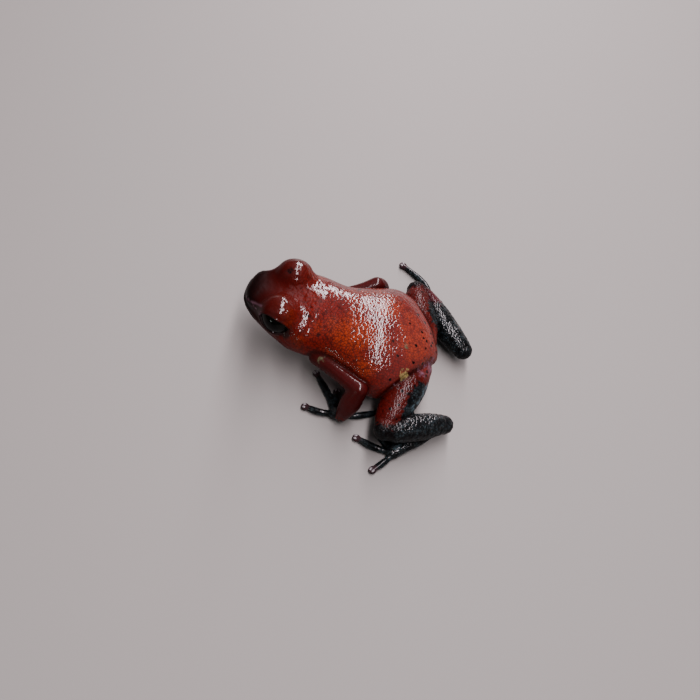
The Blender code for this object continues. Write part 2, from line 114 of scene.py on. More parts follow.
@dataclass(frozen=True)
class ArmJoints:
    """Joints of an arm and the floor places of its fingers, in millimetres."""

    shoulder: tuple
    elbow: tuple
    wrist: tuple
    palm: tuple
    fingers: tuple


@dataclass(frozen=True)
class LegJoints:
    """Joints of a leg and the floor places of its toes, in millimetres."""

    hip: tuple
    knee: tuple
    heel: tuple
    sole: tuple
    toes: tuple


TRUNK = (
    Station(-10.72, -0.36, 0.45, 4.95, 0.36, 0.36, 2.0),
    Station(-10.34, -0.42, 1.42, 4.90, 0.86, 0.86, 2.4),
    Station(-9.65, -0.46, 2.12, 4.78, 1.24, 1.14, 2.7),
    Station(-8.45, -0.42, 2.90, 4.52, 1.62, 1.50, 2.7),
    Station(-7.00, -0.31, 3.44, 4.28, 1.96, 1.78, 2.5),
    Station(-5.40, -0.22, 3.90, 4.08, 2.24, 2.05, 2.25),
    Station(-3.90, -0.10, 3.92, 4.05, 2.38, 2.20, 2.15),
    Station(-2.20, 0.00, 3.86, 3.98, 2.60, 2.45, 2.1),
    Station(-0.20, 0.00, 4.60, 3.70, 3.08, 2.90, 2.0),
    Station(1.80, 0.00, 5.42, 3.50, 3.30, 3.12, 2.0),
    Station(3.40, 0.04, 5.22, 3.38, 3.12, 3.02, 2.0),
    Station(4.75, 0.08, 4.32, 3.28, 2.74, 2.72, 2.0),
    Station(6.00, 0.08, 2.80, 3.28, 2.02, 1.95, 2.0),
    Station(6.90, 0.0, 0.95, 3.40, 0.85, 0.80, 2.0),
    Station(7.12, 0.0, 0.35, 3.42, 0.35, 0.35, 2.0),
)
ARMS = {
    Side.LEFT: ArmJoints(
        shoulder=(3.35, -2.85, 3.65),
        elbow=(5.80, 1.50, 4.15),
        wrist=(7.00, 0.65, 1.00),
        palm=(6.70, 0.05, 0.45),
        fingers=(
            ((5.60, -0.35), (4.45, -0.42)),
            ((4.95, -1.15), (3.25, -2.75)),
            ((6.95, -1.35), (6.80, -2.70)),
            ((6.30, 1.70), (5.15, 3.60)),
        ),
    ),
    Side.RIGHT: ArmJoints(
        shoulder=(-3.10, -2.85, 3.30),
        elbow=(-5.50, 0.05, 3.80),
        wrist=(-7.10, 0.55, 1.00),
        palm=(-6.85, 0.00, 0.45),
        fingers=(
            ((-5.80, -0.10), (-4.80, 0.15)),
            ((-5.50, -1.05), (-4.35, -2.10)),
            ((-6.75, -1.30), (-6.15, -2.60)),
            ((-7.25, 1.20), (-7.10, 2.45)),
        ),
    ),
}
LEGS = {
    Side.LEFT: LegJoints(
        hip=(1.50, 5.60, 3.15),
        knee=(8.05, 4.55, 2.80),
        heel=(5.05, 9.40, 1.45),
        sole=(8.45, 6.05, 0.46),
        toes=(
            ((8.00, 5.60), (7.35, 5.75)),
            ((7.60, 5.40), (6.75, 5.10)),
            ((7.85, 4.85), (7.20, 4.20)),
            ((8.65, 4.10), (8.25, 2.45)),
            ((9.60, 5.45), (10.70, 4.60)),
        ),
    ),
    Side.RIGHT: LegJoints(
        hip=(-1.50, 5.30, 3.15),
        knee=(-7.00, 3.70, 2.68),
        heel=(-3.05, 9.35, 1.45),
        sole=(-7.35, 5.60, 0.46),
        toes=(
            ((-7.00, 5.05), (-6.50, 4.50)),
            ((-7.30, 4.65), (-7.10, 3.65)),
            ((-7.95, 4.35), (-8.40, 3.20)),
            ((-9.70, 4.35), (-11.30, 1.70)),
            ((-7.80, 5.85), (-8.00, 6.25)),
        ),
    ),
}


class Tint(Enum):
    """Kinds of small colour marks on the skin, some of them painted sheen or highlight."""

    DARK = "mark_dark"
    PALE = "mark_pale"
    GOLD = "mark_gold"
    # Mauve marks are painted sheen: pale reflections on the rump, its crease and the canthus line.
    MAUVE = "mark_mauve"
    WARM = "mark_warm"
    MAROON = "mark_maroon"
    # Steel marks are a grey foot tubercle, and a painted highlight on the thigh's rear edge.
    STEEL = "mark_steel"


@dataclass(frozen=True)
class Mark:
    """One soft spot of colour, in millimetres."""

    tint: Tint
    place: tuple
    radius: float
    strength: float = 1.0


MARKS = (
    Mark(Tint.DARK, (-1.79, -7.43, 7.19), 0.42),
    Mark(Tint.DARK, (1.45, -4.55, 6.25), 0.26),
    Mark(Tint.DARK, (2.75, -3.25, 5.79), 0.24),
    Mark(Tint.DARK, (-3.15, -1.14, 5.75), 0.28),
    Mark(Tint.DARK, (4.57, 5.80, 4.36), 0.70, 0.8),
    Mark(Tint.PALE, (1.40, 4.18, 6.13), 0.34, 0.7),
    Mark(Tint.PALE, (4.12, -2.47, 4.42), 0.45, 0.8),
    Mark(Tint.GOLD, (3.40, 4.80, 4.95), 0.58),
    # A painted bluish-grey highlight along the rear edge of the left thigh.
    Mark(Tint.STEEL, (3.20, 7.00, 3.45), 0.50),
    Mark(Tint.STEEL, (4.00, 6.80, 3.50), 0.50),
    Mark(Tint.STEEL, (4.80, 6.55, 3.45), 0.50),
    Mark(Tint.STEEL, (5.60, 6.25, 3.40), 0.50),
    # Painted sheen: mauve reflections on the rump, on the flank's crease and along the canthus line.
    Mark(Tint.MAUVE, (1.20, 6.70, 4.00), 1.10, 0.7),
    Mark(Tint.MAUVE, (2.40, 6.10, 4.20), 0.80, 0.6),
    Mark(Tint.MAUVE, (1.65, -9.39, 5.32), 0.45, 0.55),
    Mark(Tint.MAUVE, (2.44, -8.60, 5.95), 0.40, 0.5),
    Mark(Tint.MAUVE, (4.10, 4.05, 4.45), 0.55, 0.6),
    # The grey tubercle at the root of the left foot.
    Mark(Tint.STEEL, (8.30, 6.10, 0.95), 0.42),
    Mark(Tint.WARM, (2.00, 0.80, 6.10), 2.80),
    Mark(Tint.WARM, (-2.00, 0.80, 6.10), 2.80),
    Mark(Tint.WARM, (0.00, 4.60, 5.60), 2.80),
    Mark(Tint.MAROON, (-6.90, 5.00, 3.60), 1.50),
)


def linear(code: str) -> tuple[float, float, float, float]:
    """Turn an sRGB hex code into a linear colour.

    Args:
        code: Six hex digits after a hash sign.

    Returns:
        Linear red, green, blue and alpha.
    """
    parts = [int(code[i:i + 2], 16) / 255.0 for i in (1, 3, 5)]
    light = [c / 12.92 if c <= 0.04045 else ((c + 0.055) / 1.055) ** 2.4 for c in parts]
    return (light[0], light[1], light[2], 1.0)


def read_curve(values: np.ndarray, places: np.ndarray) -> np.ndarray:
    """Read a smooth curve that passes through every value.

    Args:
        values: One row for each named value.
        places: Where to read, counted in rows.

    Returns:
        One row for each place.
    """
    last = len(values) - 1
    i = np.clip(places.astype(int), 0, last - 1)
    t = (places - i)[:, None]
    a = values[np.clip(i - 1, 0, last)]
    b = values[i]
    c = values[i + 1]
    d = values[np.clip(i + 2, 0, last)]
    return (
        b
        + (c - a) * (0.5 * t)
        + (a - 2.5 * b + 2.0 * c - 0.5 * d) * t ** 2
        + (1.5 * (b - c) + 0.5 * (d - a)) * t ** 3
    )


def smooth_step(low: float, high: float, value: np.ndarray) -> np.ndarray:
    """Return a smooth rise from 0 at low to 1 at high."""
    t = np.clip((value - low) / (high - low), 0.0, 1.0)
    return t * t * (3.0 - 2.0 * t)


def hump(distance: np.ndarray, width: float) -> np.ndarray:
    """Return a bell that is 1 at distance 0 and fades over width."""
    return np.exp(-((distance / width) ** 2))


def unit(vectors: np.ndarray) -> np.ndarray:
    """Return the vectors with length 1."""
    return vectors / np.maximum(np.linalg.norm(vectors, axis=-1, keepdims=True), 1e-12)


def distance_to_path(points: np.ndarray, path: np.ndarray) -> tuple[np.ndarray, np.ndarray]:
    """Measure how far points lie from a path of straight lengths.

    Args:
        points: The points to measure.
        path: The corners of the path in order.

    Returns:
        The distance of each point, and its place along the path from 0 to 1.
    """
    best = np.full(len(points), np.inf)
    place = np.zeros(len(points))
    lengths = np.linalg.norm(np.diff(path, axis=0), axis=1)
    total = lengths.sum()
    before = 0.0
    for start, end, length in zip(path, path[1:], lengths):
        step = end - start
        t = np.clip(((points - start) @ step) / (length ** 2), 0.0, 1.0)
        gap = np.linalg.norm(points - (start + t[:, None] * step), axis=1)
        closer = gap < best
        best[closer] = gap[closer]
        place[closer] = (before + t[closer] * length) / total
        before += length
    return best, place


@dataclass(frozen=True)
class Fade:
    """A smooth change from 0 at one value to 1 at another."""

    start: float
    end: float

    def of(self, value: np.ndarray) -> np.ndarray:
        """Return the share reached at each value."""
        return smooth_step(self.start, self.end, value)


@dataclass(frozen=True)
class Ridge:
    """A soft ridge at a distance from a line, or a groove where its height is negative."""

    height: float
    width: float
    place: float = 0.0

    def at(self, gap: np.ndarray) -> np.ndarray:
        """Return the height at each distance."""
        return self.height * hump(gap - self.place, self.width)


def gap_to(points: np.ndarray, place: Sequence[float]) -> np.ndarray:
    """Return the distance of each point from one place."""
    return np.linalg.norm(points - np.asarray(place), axis=1)


def gap_to_line(points: np.ndarray, path: Sequence) -> np.ndarray:
    """Return the distance of each point from a path of straight lengths."""
    return distance_to_path(points, np.array(path))[0]


def midway(start: Sequence[float], end: Sequence[float]) -> np.ndarray:
    """Return the path of a straight part: its ends and the point midway."""
    return np.array([start, (np.array(start) + np.array(end)) / 2, end])


def beside(side: Side, out: float, middle: float, y: float, z: float) -> tuple:
    """Return a place that lies out to one side from the head's own middle."""
    return (side.value * out + middle, y, z)


@dataclass
class Form:
    """Points and faces of one closed form, in millimetres."""

    points: np.ndarray
    faces: list

    @staticmethod
    def joined(forms: Sequence["Form"]) -> "Form":
        """Put several forms into one list of points and faces.

        Args:
            forms: The closed forms.

        Returns:
            One form that holds them all.
        """
        faces = []
        count = 0
        for form in forms:
            faces += [[i + count for i in face] for face in form.faces]
            count += len(form.points)
        return Form(np.concatenate([form.points for form in forms]), faces)

    @staticmethod
    def from_rings(rings: np.ndarray, first: np.ndarray, last: np.ndarray) -> "Form":
        """Close a stack of rings with a point at each end.

        Args:
            rings: Points as rings by sides by 3.
            first: The point that closes the first ring.
            last: The point that closes the last ring.

        Returns:
            The closed form.
        """
        count, sides, _ = rings.shape
        points = np.concatenate([rings.reshape(-1, 3), [first, last]])
        faces = []
        for i in range(count - 1):
            for j in range(sides):
                k = (j + 1) % sides
                faces.append([i * sides + j, i * sides + k, (i + 1) * sides + k, (i + 1) * sides + j])
        for j in range(sides):
            k = (j + 1) % sides
            faces.append([k, j, count * sides])
            faces.append([(count - 1) * sides + j, (count - 1) * sides + k, count * sides + 1])
        return Form(points, faces)


@dataclass
class Trunk:
    """The head and body from snout to vent."""

    stations: tuple = TRUNK
    sides: int = 120
    rings: int = 200
    tip: float = 0.10

    def table(self) -> np.ndarray:
        """Return the stations as rows of numbers."""
        return np.array([station.values() for station in self.stations])

    def points(self, places: np.ndarray, angles: np.ndarray) -> np.ndarray:
        """Return points of the trunk's surface.

        Args:
            places: Places that count the stations.
            angles: Angles round the section, 0 on the left and 90 degrees on the back.

        Returns:
            One point for each place and angle.
        """
        y, middle, width, level, rise, drop, square = read_curve(self.table(), places).T
        power = 2.0 / square
        across = width * np.sign(np.cos(angles)) * np.abs(np.cos(angles)) ** power
        height = np.where(np.sin(angles) > 0.0, rise, drop)
        up = height * np.sign(np.sin(angles)) * np.abs(np.sin(angles)) ** power
        return np.stack([middle + across, y, level + up], axis=1)

    def form(self) -> Form:
        """Draw the trunk's rings through its stations.

        Returns:
            The closed trunk.
        """
        places = np.linspace(0.0, len(self.stations) - 1, self.rings)
        angles = np.linspace(0.0, math.tau, self.sides, endpoint=False)
        grid = self.points(np.repeat(places, self.sides), np.tile(angles, self.rings))
        snout, vent = self.stations[0], self.stations[-1]
        first = np.array([snout.middle_x, snout.y - self.tip, snout.widest_z])
        last = np.array([vent.middle_x, vent.y + self.tip, vent.widest_z])
        return Form.from_rings(grid.reshape(self.rings, self.sides, 3), first, last)


@dataclass
class Limb:
    """A round-ended length of arm, leg or digit along a smooth path."""

    path: Sequence
    radii: Sequence[float]
    flatness: float = 1.0
    sides: int = 32
    rings: int = 28
    cap_rings: int = 7

    def form(self) -> Form:
        """Draw rings along the path and round off both ends.

        Returns:
            The closed limb.
        """
        path = np.array([tuple(point) for point in self.path], float)
        parts = np.linspace(0.0, 1.0, self.rings)
        centres = read_curve(path, parts * (len(path) - 1))
        widths = np.array(self.radii, float)[:, None]
        sizes = read_curve(widths, parts * (len(widths) - 1))[:, 0]
        along = unit(np.gradient(centres, axis=0))
        sideways = unit(np.cross(along, (0.0, 0.0, 1.0)))
        upright = np.cross(sideways, along)
        lifts = np.linspace(0.0, math.pi / 2, self.cap_rings, endpoint=False)[1:]
        order = [(0, -lift) for lift in lifts[::-1]]
        order += [(i, 0.0) for i in range(self.rings)]
        order += [(self.rings - 1, lift) for lift in lifts]
        turns = np.linspace(0.0, math.tau, self.sides, endpoint=False)
        rings = []
        for i, lift in order:
            middle = centres[i] + along[i] * sizes[i] * math.sin(lift)
            reach = sizes[i] * math.cos(lift)
            across = np.outer(np.cos(turns), sideways[i]) * reach
            up = np.outer(np.sin(turns), upright[i]) * reach * self.flatness
            rings.append(middle + across + up)
        first = centres[0] - along[0] * sizes[0]
        last = centres[-1] + along[-1] * sizes[-1]
        return Form.from_rings(np.array(rings), first, last)


@dataclass
class Ball:
    """An ellipsoid."""

    centre: Sequence[float]
    half_sizes: Sequence[float]
    heading: float = 0.0
    sides: int = 40

    def form(self) -> Form:
        """Draw the ellipsoid's rings.

        Returns:
            The closed ellipsoid.
        """
        rows = self.sides // 2
        lifts = np.linspace(-math.pi / 2, math.pi / 2, rows + 2)[1:-1]
        turns = np.linspace(0.0, math.tau, self.sides, endpoint=False)
        lift, turn = np.meshgrid(lifts, turns, indexing="ij")
        level = np.cos(lift)
        rings = np.stack([level * np.cos(turn), level * np.sin(turn), np.sin(lift)], axis=2)
        poles = np.array([(0.0, 0.0, -1.0), (0.0, 0.0, 1.0)])
        cos, sin = math.cos(self.heading), math.sin(self.heading)
        turner = np.array([[cos, sin, 0.0], [-sin, cos, 0.0], [0.0, 0.0, 1.0]])
        rings, poles = [(p * self.half_sizes) @ turner + self.centre for p in (rings, poles)]
        return Form.from_rings(rings, *poles)


def feed(tree: bpy.types.NodeTree, node: bpy.types.Node, values: dict) -> None:
    """Give a node its inputs.

    Args:
        tree: The node's tree.
        node: The node.
        values: Input name or number to a socket, or to a constant value.
    """
    for key, value in values.items():
        socket = node.inputs[key]
        if isinstance(value, bpy.types.NodeSocket):
            tree.links.new(value, socket)
        else:
            socket.default_value = value


def add_node(
    tree: bpy.types.NodeTree, kind: str, values: dict | None = None, **settings: object,
) -> bpy.types.Node:
    """Add one node to a tree.

    Args:
        tree: The tree to add to.
        kind: The node's type name.
        values: Input name or number to a socket, or to a constant value.
        settings: Properties of the node.

    Returns:
        The node.
    """
    node = tree.nodes.new(kind)
    for name, value in settings.items():
        setattr(node, name, value)
    feed(tree, node, values or {})
    return node


@dataclass(frozen=True)
class Socket:
    """Where one eyeball sits, how it looks out and how its lids open.

    Angles are in degrees. The lids' edges are heights above a line that rises
    by the tilt towards the snout.
    """

    side: Side
    radius: float = 1.62
    centre_y: float = -7.05
    centre_z: float = 5.46
    spread: float = 2.06
    head_yaw: float = -1.0
    look_forward: float = 10.0
    look_up: float = 5.0
    tilt: float = 15.0
    lid_radius: float = 1.86
    lid_proud: float = 0.15
    upper_edge: float = 33.0
    upper_peak: float = -5.0
    upper_reach: float = 57.0
    lower_edge: float = -14.0
    lower_peak: float = -30.0
    lower_reach: float = 82.0
    rear_length: float = 54.0
    rear_slope: float = 1.1
    front_length: float = 47.0
    front_slope: float = 0.8
    rim: Ridge = Ridge(0.04, 0.08, -0.16)
    lid_shell: Fade = Fade(0.60, 0.10)
    facing: Fade = Fade(-0.10, 0.20)
    fall: Fade = Fade(-0.70, -0.14)
    opened: Fade = Fade(-0.11, 0.05)
    sunk: float = 0.20

    def centre(self) -> np.ndarray:
        """Work out where the eyeball sits.

        Returns:
            The middle of the eyeball.
        """
        yaw = math.radians(self.head_yaw)
        reach = self.side.value * self.spread
        middle = TRUNK[4].middle_x
        return np.array([
            middle + reach * math.cos(yaw), self.centre_y + reach * math.sin(yaw), self.centre_z,
        ])

    def axes(self) -> np.ndarray:
        """Work out how the eye is turned.

        Returns:
            Unit rows that point outwards, forwards and upwards from the eye.
        """
        sign = self.side.value
        turn = math.radians(self.head_yaw) - sign * math.radians(self.look_forward)
        lift = math.radians(self.look_up)
        level = np.array([math.cos(turn), math.sin(turn), 0.0]) * sign
        out = level * math.cos(lift) + np.array([0.0, 0.0, math.sin(lift)])
        ahead = np.array([math.sin(turn), -math.cos(turn), 0.0])
        above = np.cross(ahead, out) * sign
        tilt = math.radians(self.tilt)
        forward = ahead * math.cos(tilt) + above * math.sin(tilt)
        up = above * math.cos(tilt) - ahead * math.sin(tilt)
        return np.stack([out, forward, up])

    def openness(self, points: np.ndarray) -> np.ndarray:
        """Measure how far points lie inside the lids' opening.

        Args:
            points: The points, in the frog's millimetres.

        Returns:
            The depth inside the edge in millimetres on the eyeball, negative outside.
        """
        out, forward, up = (unit(points - self.centre()) @ self.axes().T).T
        along = np.degrees(np.arctan2(forward, np.maximum(out, 1e-6)))
        along = np.where(out > 0.0, along, 180.0)
        height = np.degrees(np.arcsin(np.clip(up, -1.0, 1.0)))
        upper = self.upper_edge * (1.0 - np.abs((along - self.upper_peak) / self.upper_reach) ** 3)
        dip = np.minimum(((along - self.lower_peak) / self.lower_reach) ** 2, 1.0)
        lower = self.lower_edge * (1.0 - dip)
        rear = (self.rear_length + along) * self.rear_slope
        front = (self.front_length - along) * self.front_slope
        inside = np.min([upper - height, height - lower, rear, front], axis=0)
        return np.radians(inside) * self.radius

    def shape(self, points: np.ndarray) -> np.ndarray:
        """Press the lids to the eyeball and open them along their almond edge.

        Args:
            points: The points, in the frog's millimetres.

        Returns:
            The moved points.
        """
        offset = points - self.centre()
        distance = np.linalg.norm(offset, axis=1)
        open_by = self.openness(points)
        close = self.lid_shell.of(distance - self.lid_radius)
        facing = self.facing.of(unit(offset) @ self.axes()[0])
        rim = self.radius + self.lid_proud + self.rim.at(open_by)
        lid = distance + (rim - distance) * self.fall.of(open_by)
        target = lid + (self.radius - self.sunk - lid) * self.opened.of(open_by)
        moved = distance + (target - distance) * close * facing
        return self.centre() + unit(offset) * moved[:, None]

    def lid_gap(self, points: np.ndarray) -> np.ndarray:
        """Return how far points lie outside the ball of the lids."""
        return gap_to(points, self.centre()) - self.lid_radius


@dataclass(frozen=True)
class Mouth:
    """The closed mouth with its lips, nostrils and eardrums.

    Places along the head count the trunk's stations, and angles are in degrees
    round its section.
    """

    angle: float = -20.0
    corner: float = 4.85
    front: float = 0.5
    tip: float = 0.2
    middle_y: float = -8.0
    lip_radii: tuple = (0.12, 0.24, 0.24, 0.24, 0.12)
    crest_out: float = 0.204
    groove: Ridge = Ridge(-0.16, 0.085)
    lip_rim: Ridge = Ridge(0.03, 0.12, 0.26)
    nostril_place: float = 1.45
    nostril_angle: float = 28.0
    nostril: Ridge = Ridge(-0.22, 0.13)
    nostril_rim: Ridge = Ridge(0.05, 0.09, 0.24)
    drum_place: float = 4.75
    drum_angle: float = 14.0
    drum_edge: Ridge = Ridge(-0.07, 0.09, 0.62)
    drum_floor: Fade = Fade(0.62, 0.52)
    drum_depth: float = 0.03

    def path(self, trunk: Trunk, steps: int = 30) -> np.ndarray:
        """Draw the mouth line from the left corner to the right.

        Args:
            trunk: The head and body.
            steps: How many points each side has.

        Returns:
            The points in order.
        """
        places = np.linspace(self.corner, self.front, steps)
        tilt = math.radians(self.angle)
        left = trunk.points(places, np.full(steps, tilt))
        right = trunk.points(places, np.full(steps, math.pi - tilt))
        tip = trunk.points(np.array([self.tip]), np.array([-math.pi / 2]))
        return np.concatenate([left, tip, right[::-1]])

    def lips(self, trunk: Trunk) -> Form:
        """Return the closed form of the lips."""
        return Limb(self.path(trunk, 9), self.lip_radii, sides=16, rings=60).form()

    def gap_to_spot(
        self, points: np.ndarray, trunk: Trunk, side: Side, place: float, angle: float,
    ) -> np.ndarray:
        """Return the distance of points from a nostril or eardrum on one side."""
        turn = math.radians(angle) if side is Side.LEFT else math.pi - math.radians(angle)
        return gap_to(points, trunk.points(np.array([place]), np.array([turn]))[0])

    def shape(self, points: np.ndarray, normals: np.ndarray, trunk: Trunk) -> np.ndarray:
        """Press in the mouth line, nostrils and eardrums.

        Args:
            points: The points, in the frog's millimetres.
            normals: Which way the skin faces at each point.
            trunk: The head and body.

        Returns:
            The moved points.
        """
        path = self.path(trunk)
        middle = np.array([0.0, self.middle_y, TRUNK[1].widest_z])
        away = unit((path - middle) * np.array([1.0, 1.0, 0.0]))
        line = gap_to_line(points, path + away * self.crest_out)
        push = self.groove.at(line) + self.lip_rim.at(line)
        for side in Side:
            gap = self.gap_to_spot(points, trunk, side, self.nostril_place, self.nostril_angle)
            push += self.nostril.at(gap) + self.nostril_rim.at(gap)
            gap = self.gap_to_spot(points, trunk, side, self.drum_place, self.drum_angle)
            push += self.drum_edge.at(gap) - self.drum_depth * self.drum_floor.of(gap)
        return points + normals * push[:, None]


@dataclass(frozen=True)
class Digits:
    """Fingers or toes of one hand or foot, with their discs."""

    root: tuple
    stops: tuple
    radii: tuple = (0.33, 0.285, 0.3249, 0.2394)
    root_drop: float = 0.08
    bend_rise: float = 0.14
    tip_z: float = 0.25
    disc_turn: float = 0.2
    disc_half_sizes: tuple = (0.4028, 0.38, 0.23)

    def joints(self) -> list:
        """Lay out the joints of the digits.

        Returns:
            Root, bend and tip of each digit.
        """
        start = (self.root[0], self.root[1], self.root[2] - self.root_drop)
        bend_z = self.tip_z + self.bend_rise
        return [(start, (*bend, bend_z), (*tip, self.tip_z)) for bend, tip in self.stops]

    def heading(self, bend: tuple, tip: tuple) -> float:
        """Return which way a disc points, in radians."""
        return math.atan2(tip[1] - bend[1], tip[0] - bend[0]) + self.disc_turn

    def forms(self) -> list:
        """Build the digits with their discs.

        Returns:
            The closed forms.
        """
        forms = []
        for start, bend, tip in self.joints():
            forms.append(Limb((start, bend, tip), self.radii, sides=20, rings=20).form())
            forms.append(Ball(tip, self.disc_half_sizes, self.heading(bend, tip), 24).form())
        return forms


@dataclass(frozen=True)
class Arm:
    """One arm from shoulder to finger discs."""

    side: Side
    upper_radii: tuple = (0.95, 0.80, 0.74, 0.80)
    lower_radii: tuple = (0.80, 0.92, 0.84, 0.56)
    palm_radii: tuple = (0.54, 0.58, 0.60)
    palm_flatness: float = 0.9

    def parts(self) -> dict:
        """Return the path and radii of each part by name."""
        joints = ARMS[self.side]
        return {
            "upper": (midway(joints.shoulder, joints.elbow), self.upper_radii),
            "lower": (midway(joints.elbow, joints.wrist), self.lower_radii),
            "hand": (midway(joints.wrist, joints.palm), self.palm_radii),
        }

    def digits(self) -> Digits:
        """Return the fingers."""
        return Digits(ARMS[self.side].palm, ARMS[self.side].fingers)

    def forms(self) -> list:
        """Build the arm with its fingers.

        Returns:
            The closed forms.
        """
        parts = self.parts()
        palm = Limb(*parts["hand"], flatness=self.palm_flatness, sides=24, rings=12)
        forms = [Limb(*parts["upper"]).form(), Limb(*parts["lower"]).form(), palm.form()]
        return forms + self.digits().forms()


@dataclass(frozen=True)
class Leg:
    """One leg from hip to toe discs."""

    side: Side
    thigh_radii: tuple = (1.50, 1.72, 1.48, 1.05)
    thigh_flatness: float = 0.90
    shank_radii: tuple = (1.05, 1.22, 1.16, 0.90)
    tarsus_radii: tuple = (0.66, 0.60, 0.58, 0.52)
    sole_radii: tuple = (0.52, 0.56, 0.55)
    sole_flatness: float = 0.9
    sole_length: float = 0.9
    sole_drop: float = 0.05
    sole_behind: float = 0.3
    sole_ahead: float = 0.4
    toe_root: float = 0.3

    def toward_toes(self) -> np.ndarray:
        """Work out how the sole runs.

        Returns:
            The step from the sole towards the toes.
        """
        joints = LEGS[self.side]
        step = unit(np.array(joints.sole) - np.array(joints.heel)) * self.sole_length
        step[2] = -self.sole_drop
        return step

    def parts(self) -> dict:
        """Lay out the parts of the leg.

        Returns:
            The path and radii of each part by name.
        """
        joints = LEGS[self.side]
        middle = np.array(joints.sole)
        step = self.toward_toes()
        sole = np.array([middle - step * self.sole_behind, middle, middle + step * self.sole_ahead])
        return {
            "thigh": (midway(joints.hip, joints.knee), self.thigh_radii),
            "shank": (midway(joints.knee, joints.heel), self.shank_radii),
            "tarsus": (midway(joints.heel, joints.sole), self.tarsus_radii),
            "foot": (sole, self.sole_radii),
        }

    def digits(self) -> Digits:
        """Return the toes."""
        root = np.array(LEGS[self.side].sole) + self.toward_toes() * self.toe_root
        return Digits(tuple(root), LEGS[self.side].toes)

    def forms(self) -> list:
        """Build the leg with its toes.

        Returns:
            The closed forms.
        """
        parts = self.parts()
        thigh = Limb(*parts["thigh"], flatness=self.thigh_flatness, sides=48)
        sole = Limb(*parts["foot"], flatness=self.sole_flatness, sides=24, rings=12)
        forms = [thigh.form(), Limb(*parts["shank"]).form(), Limb(*parts["tarsus"]).form()]
        return forms + [sole.form()] + self.digits().forms()


def to_mesh(name: str, form: Form) -> bpy.types.Mesh:
    """Turn a form into a mesh with its faces pointing out.

    Args:
        name: Name of the mesh.
        form: Closed forms in one list.

    Returns:
        The mesh.
    """
    mesh = bpy.data.meshes.new(name)
    mesh.from_pydata(form.points.tolist(), [], form.faces)
    bm = bmesh.new()
    bm.from_mesh(mesh)
    bmesh.ops.recalc_face_normals(bm, faces=bm.faces[:])
    bm.to_mesh(mesh)
    bm.free()
    return mesh


def link(name: str, mesh: bpy.types.Mesh) -> bpy.types.Object:
    """Put a mesh in the scene as an object.

    Args:
        name: Name of the object.
        mesh: Its mesh.

    Returns:
        The object.
    """
    piece = bpy.data.objects.new(name, mesh)
    bpy.context.scene.collection.objects.link(piece)
    return piece


def baked(piece: bpy.types.Object) -> None:
    """Put the result of an object's modifiers into its mesh and remove them.

    Args:
        piece: The object.
    """
    bpy.context.view_layer.update()
    graph = bpy.context.evaluated_depsgraph_get()
    mesh = bpy.data.meshes.new_from_object(piece.evaluated_get(graph))
    piece.modifiers.clear()
    piece.data = mesh


def read_points(mesh: bpy.types.Mesh) -> np.ndarray:
    """Read the vertices of a mesh.

    Args:
        mesh: The mesh.

    Returns:
        One row for each vertex.
    """
    flat = np.empty(len(mesh.vertices) * 3)
    mesh.vertices.foreach_get("co", flat)
    return flat.reshape(-1, 3)


def read_normals(mesh: bpy.types.Mesh) -> np.ndarray:
    """Read the vertex normals of a mesh.

    Args:
        mesh: The mesh.

    Returns:
        One row for each vertex.
    """
    flat = np.empty(len(mesh.vertices) * 3)
    mesh.vertex_normals.foreach_get("vector", flat)
    return flat.reshape(-1, 3)


def write_points(mesh: bpy.types.Mesh, points: np.ndarray) -> None:
    """Move the vertices of a mesh."""
    mesh.vertices.foreach_set("co", points.ravel())
    mesh.update()


def read_edges(mesh: bpy.types.Mesh) -> np.ndarray:
    """Read the edges of a mesh.

    Args:
        mesh: The mesh.

    Returns:
        Pairs of vertex numbers.
    """
    flat = np.empty(len(mesh.edges) * 2, int)
    mesh.edges.foreach_get("vertices", flat)
    return flat.reshape(-1, 2)


def drawn(points: np.ndarray, edges: np.ndarray, share: np.ndarray) -> np.ndarray:
    """Draw each point towards the middle of its neighbours.

    Args:
        points: The vertices.
        edges: Pairs of vertex numbers.
        share: How far each vertex moves, away from the middle where it is negative.

    Returns:
        The moved vertices.
    """
    count = len(points)
    a, b = edges.T
    links = np.bincount(a, minlength=count) + np.bincount(b, minlength=count)
    total = np.stack([
        np.bincount(a, points[b, axis], count) + np.bincount(b, points[a, axis], count)
        for axis in range(3)
    ], axis=1)
    return points + (total / links[:, None] - points) * share[:, None]


def refine(mesh: bpy.types.Mesh, marked: np.ndarray) -> None:
    """Split the edges between marked vertices in two.

    Args:
        mesh: The mesh to split.
        marked: Whether each vertex is marked.
    """
    bm = bmesh.new()
    bm.from_mesh(mesh)
    edges = [edge for edge in bm.edges if all(marked[vert.index] for vert in edge.verts)]
    bmesh.ops.subdivide_edges(bm, edges=edges, cuts=1, use_grid_fill=True)
    bm.to_mesh(mesh)
    bm.free()


def add_mask(mesh: bpy.types.Mesh, name: str, values: np.ndarray) -> None:
    """Store one number from 0 to 1 for each vertex under a name."""
    layer = mesh.attributes.new(name, "FLOAT", "POINT")
    layer.data.foreach_set("value", np.clip(values, 0.0, 1.0).astype(np.float32))


def new_group(name: str, inputs: dict) -> tuple:
    """Start a Geometry Nodes tree from a mesh to a mesh.

    Args:
        name: Name of the tree.
        inputs: Name of each further input to its kind of socket.

    Returns:
        The tree and the outputs of its input node.
    """
    tree = bpy.data.node_groups.new(name, "GeometryNodeTree")
    tree.interface.new_socket("Geometry", in_out="INPUT", socket_type="NodeSocketGeometry")
    for label, kind in inputs.items():
        tree.interface.new_socket(label, in_out="INPUT", socket_type=kind)
    tree.interface.new_socket("Geometry", in_out="OUTPUT", socket_type="NodeSocketGeometry")
    return tree, add_node(tree, "NodeGroupInput").outputs


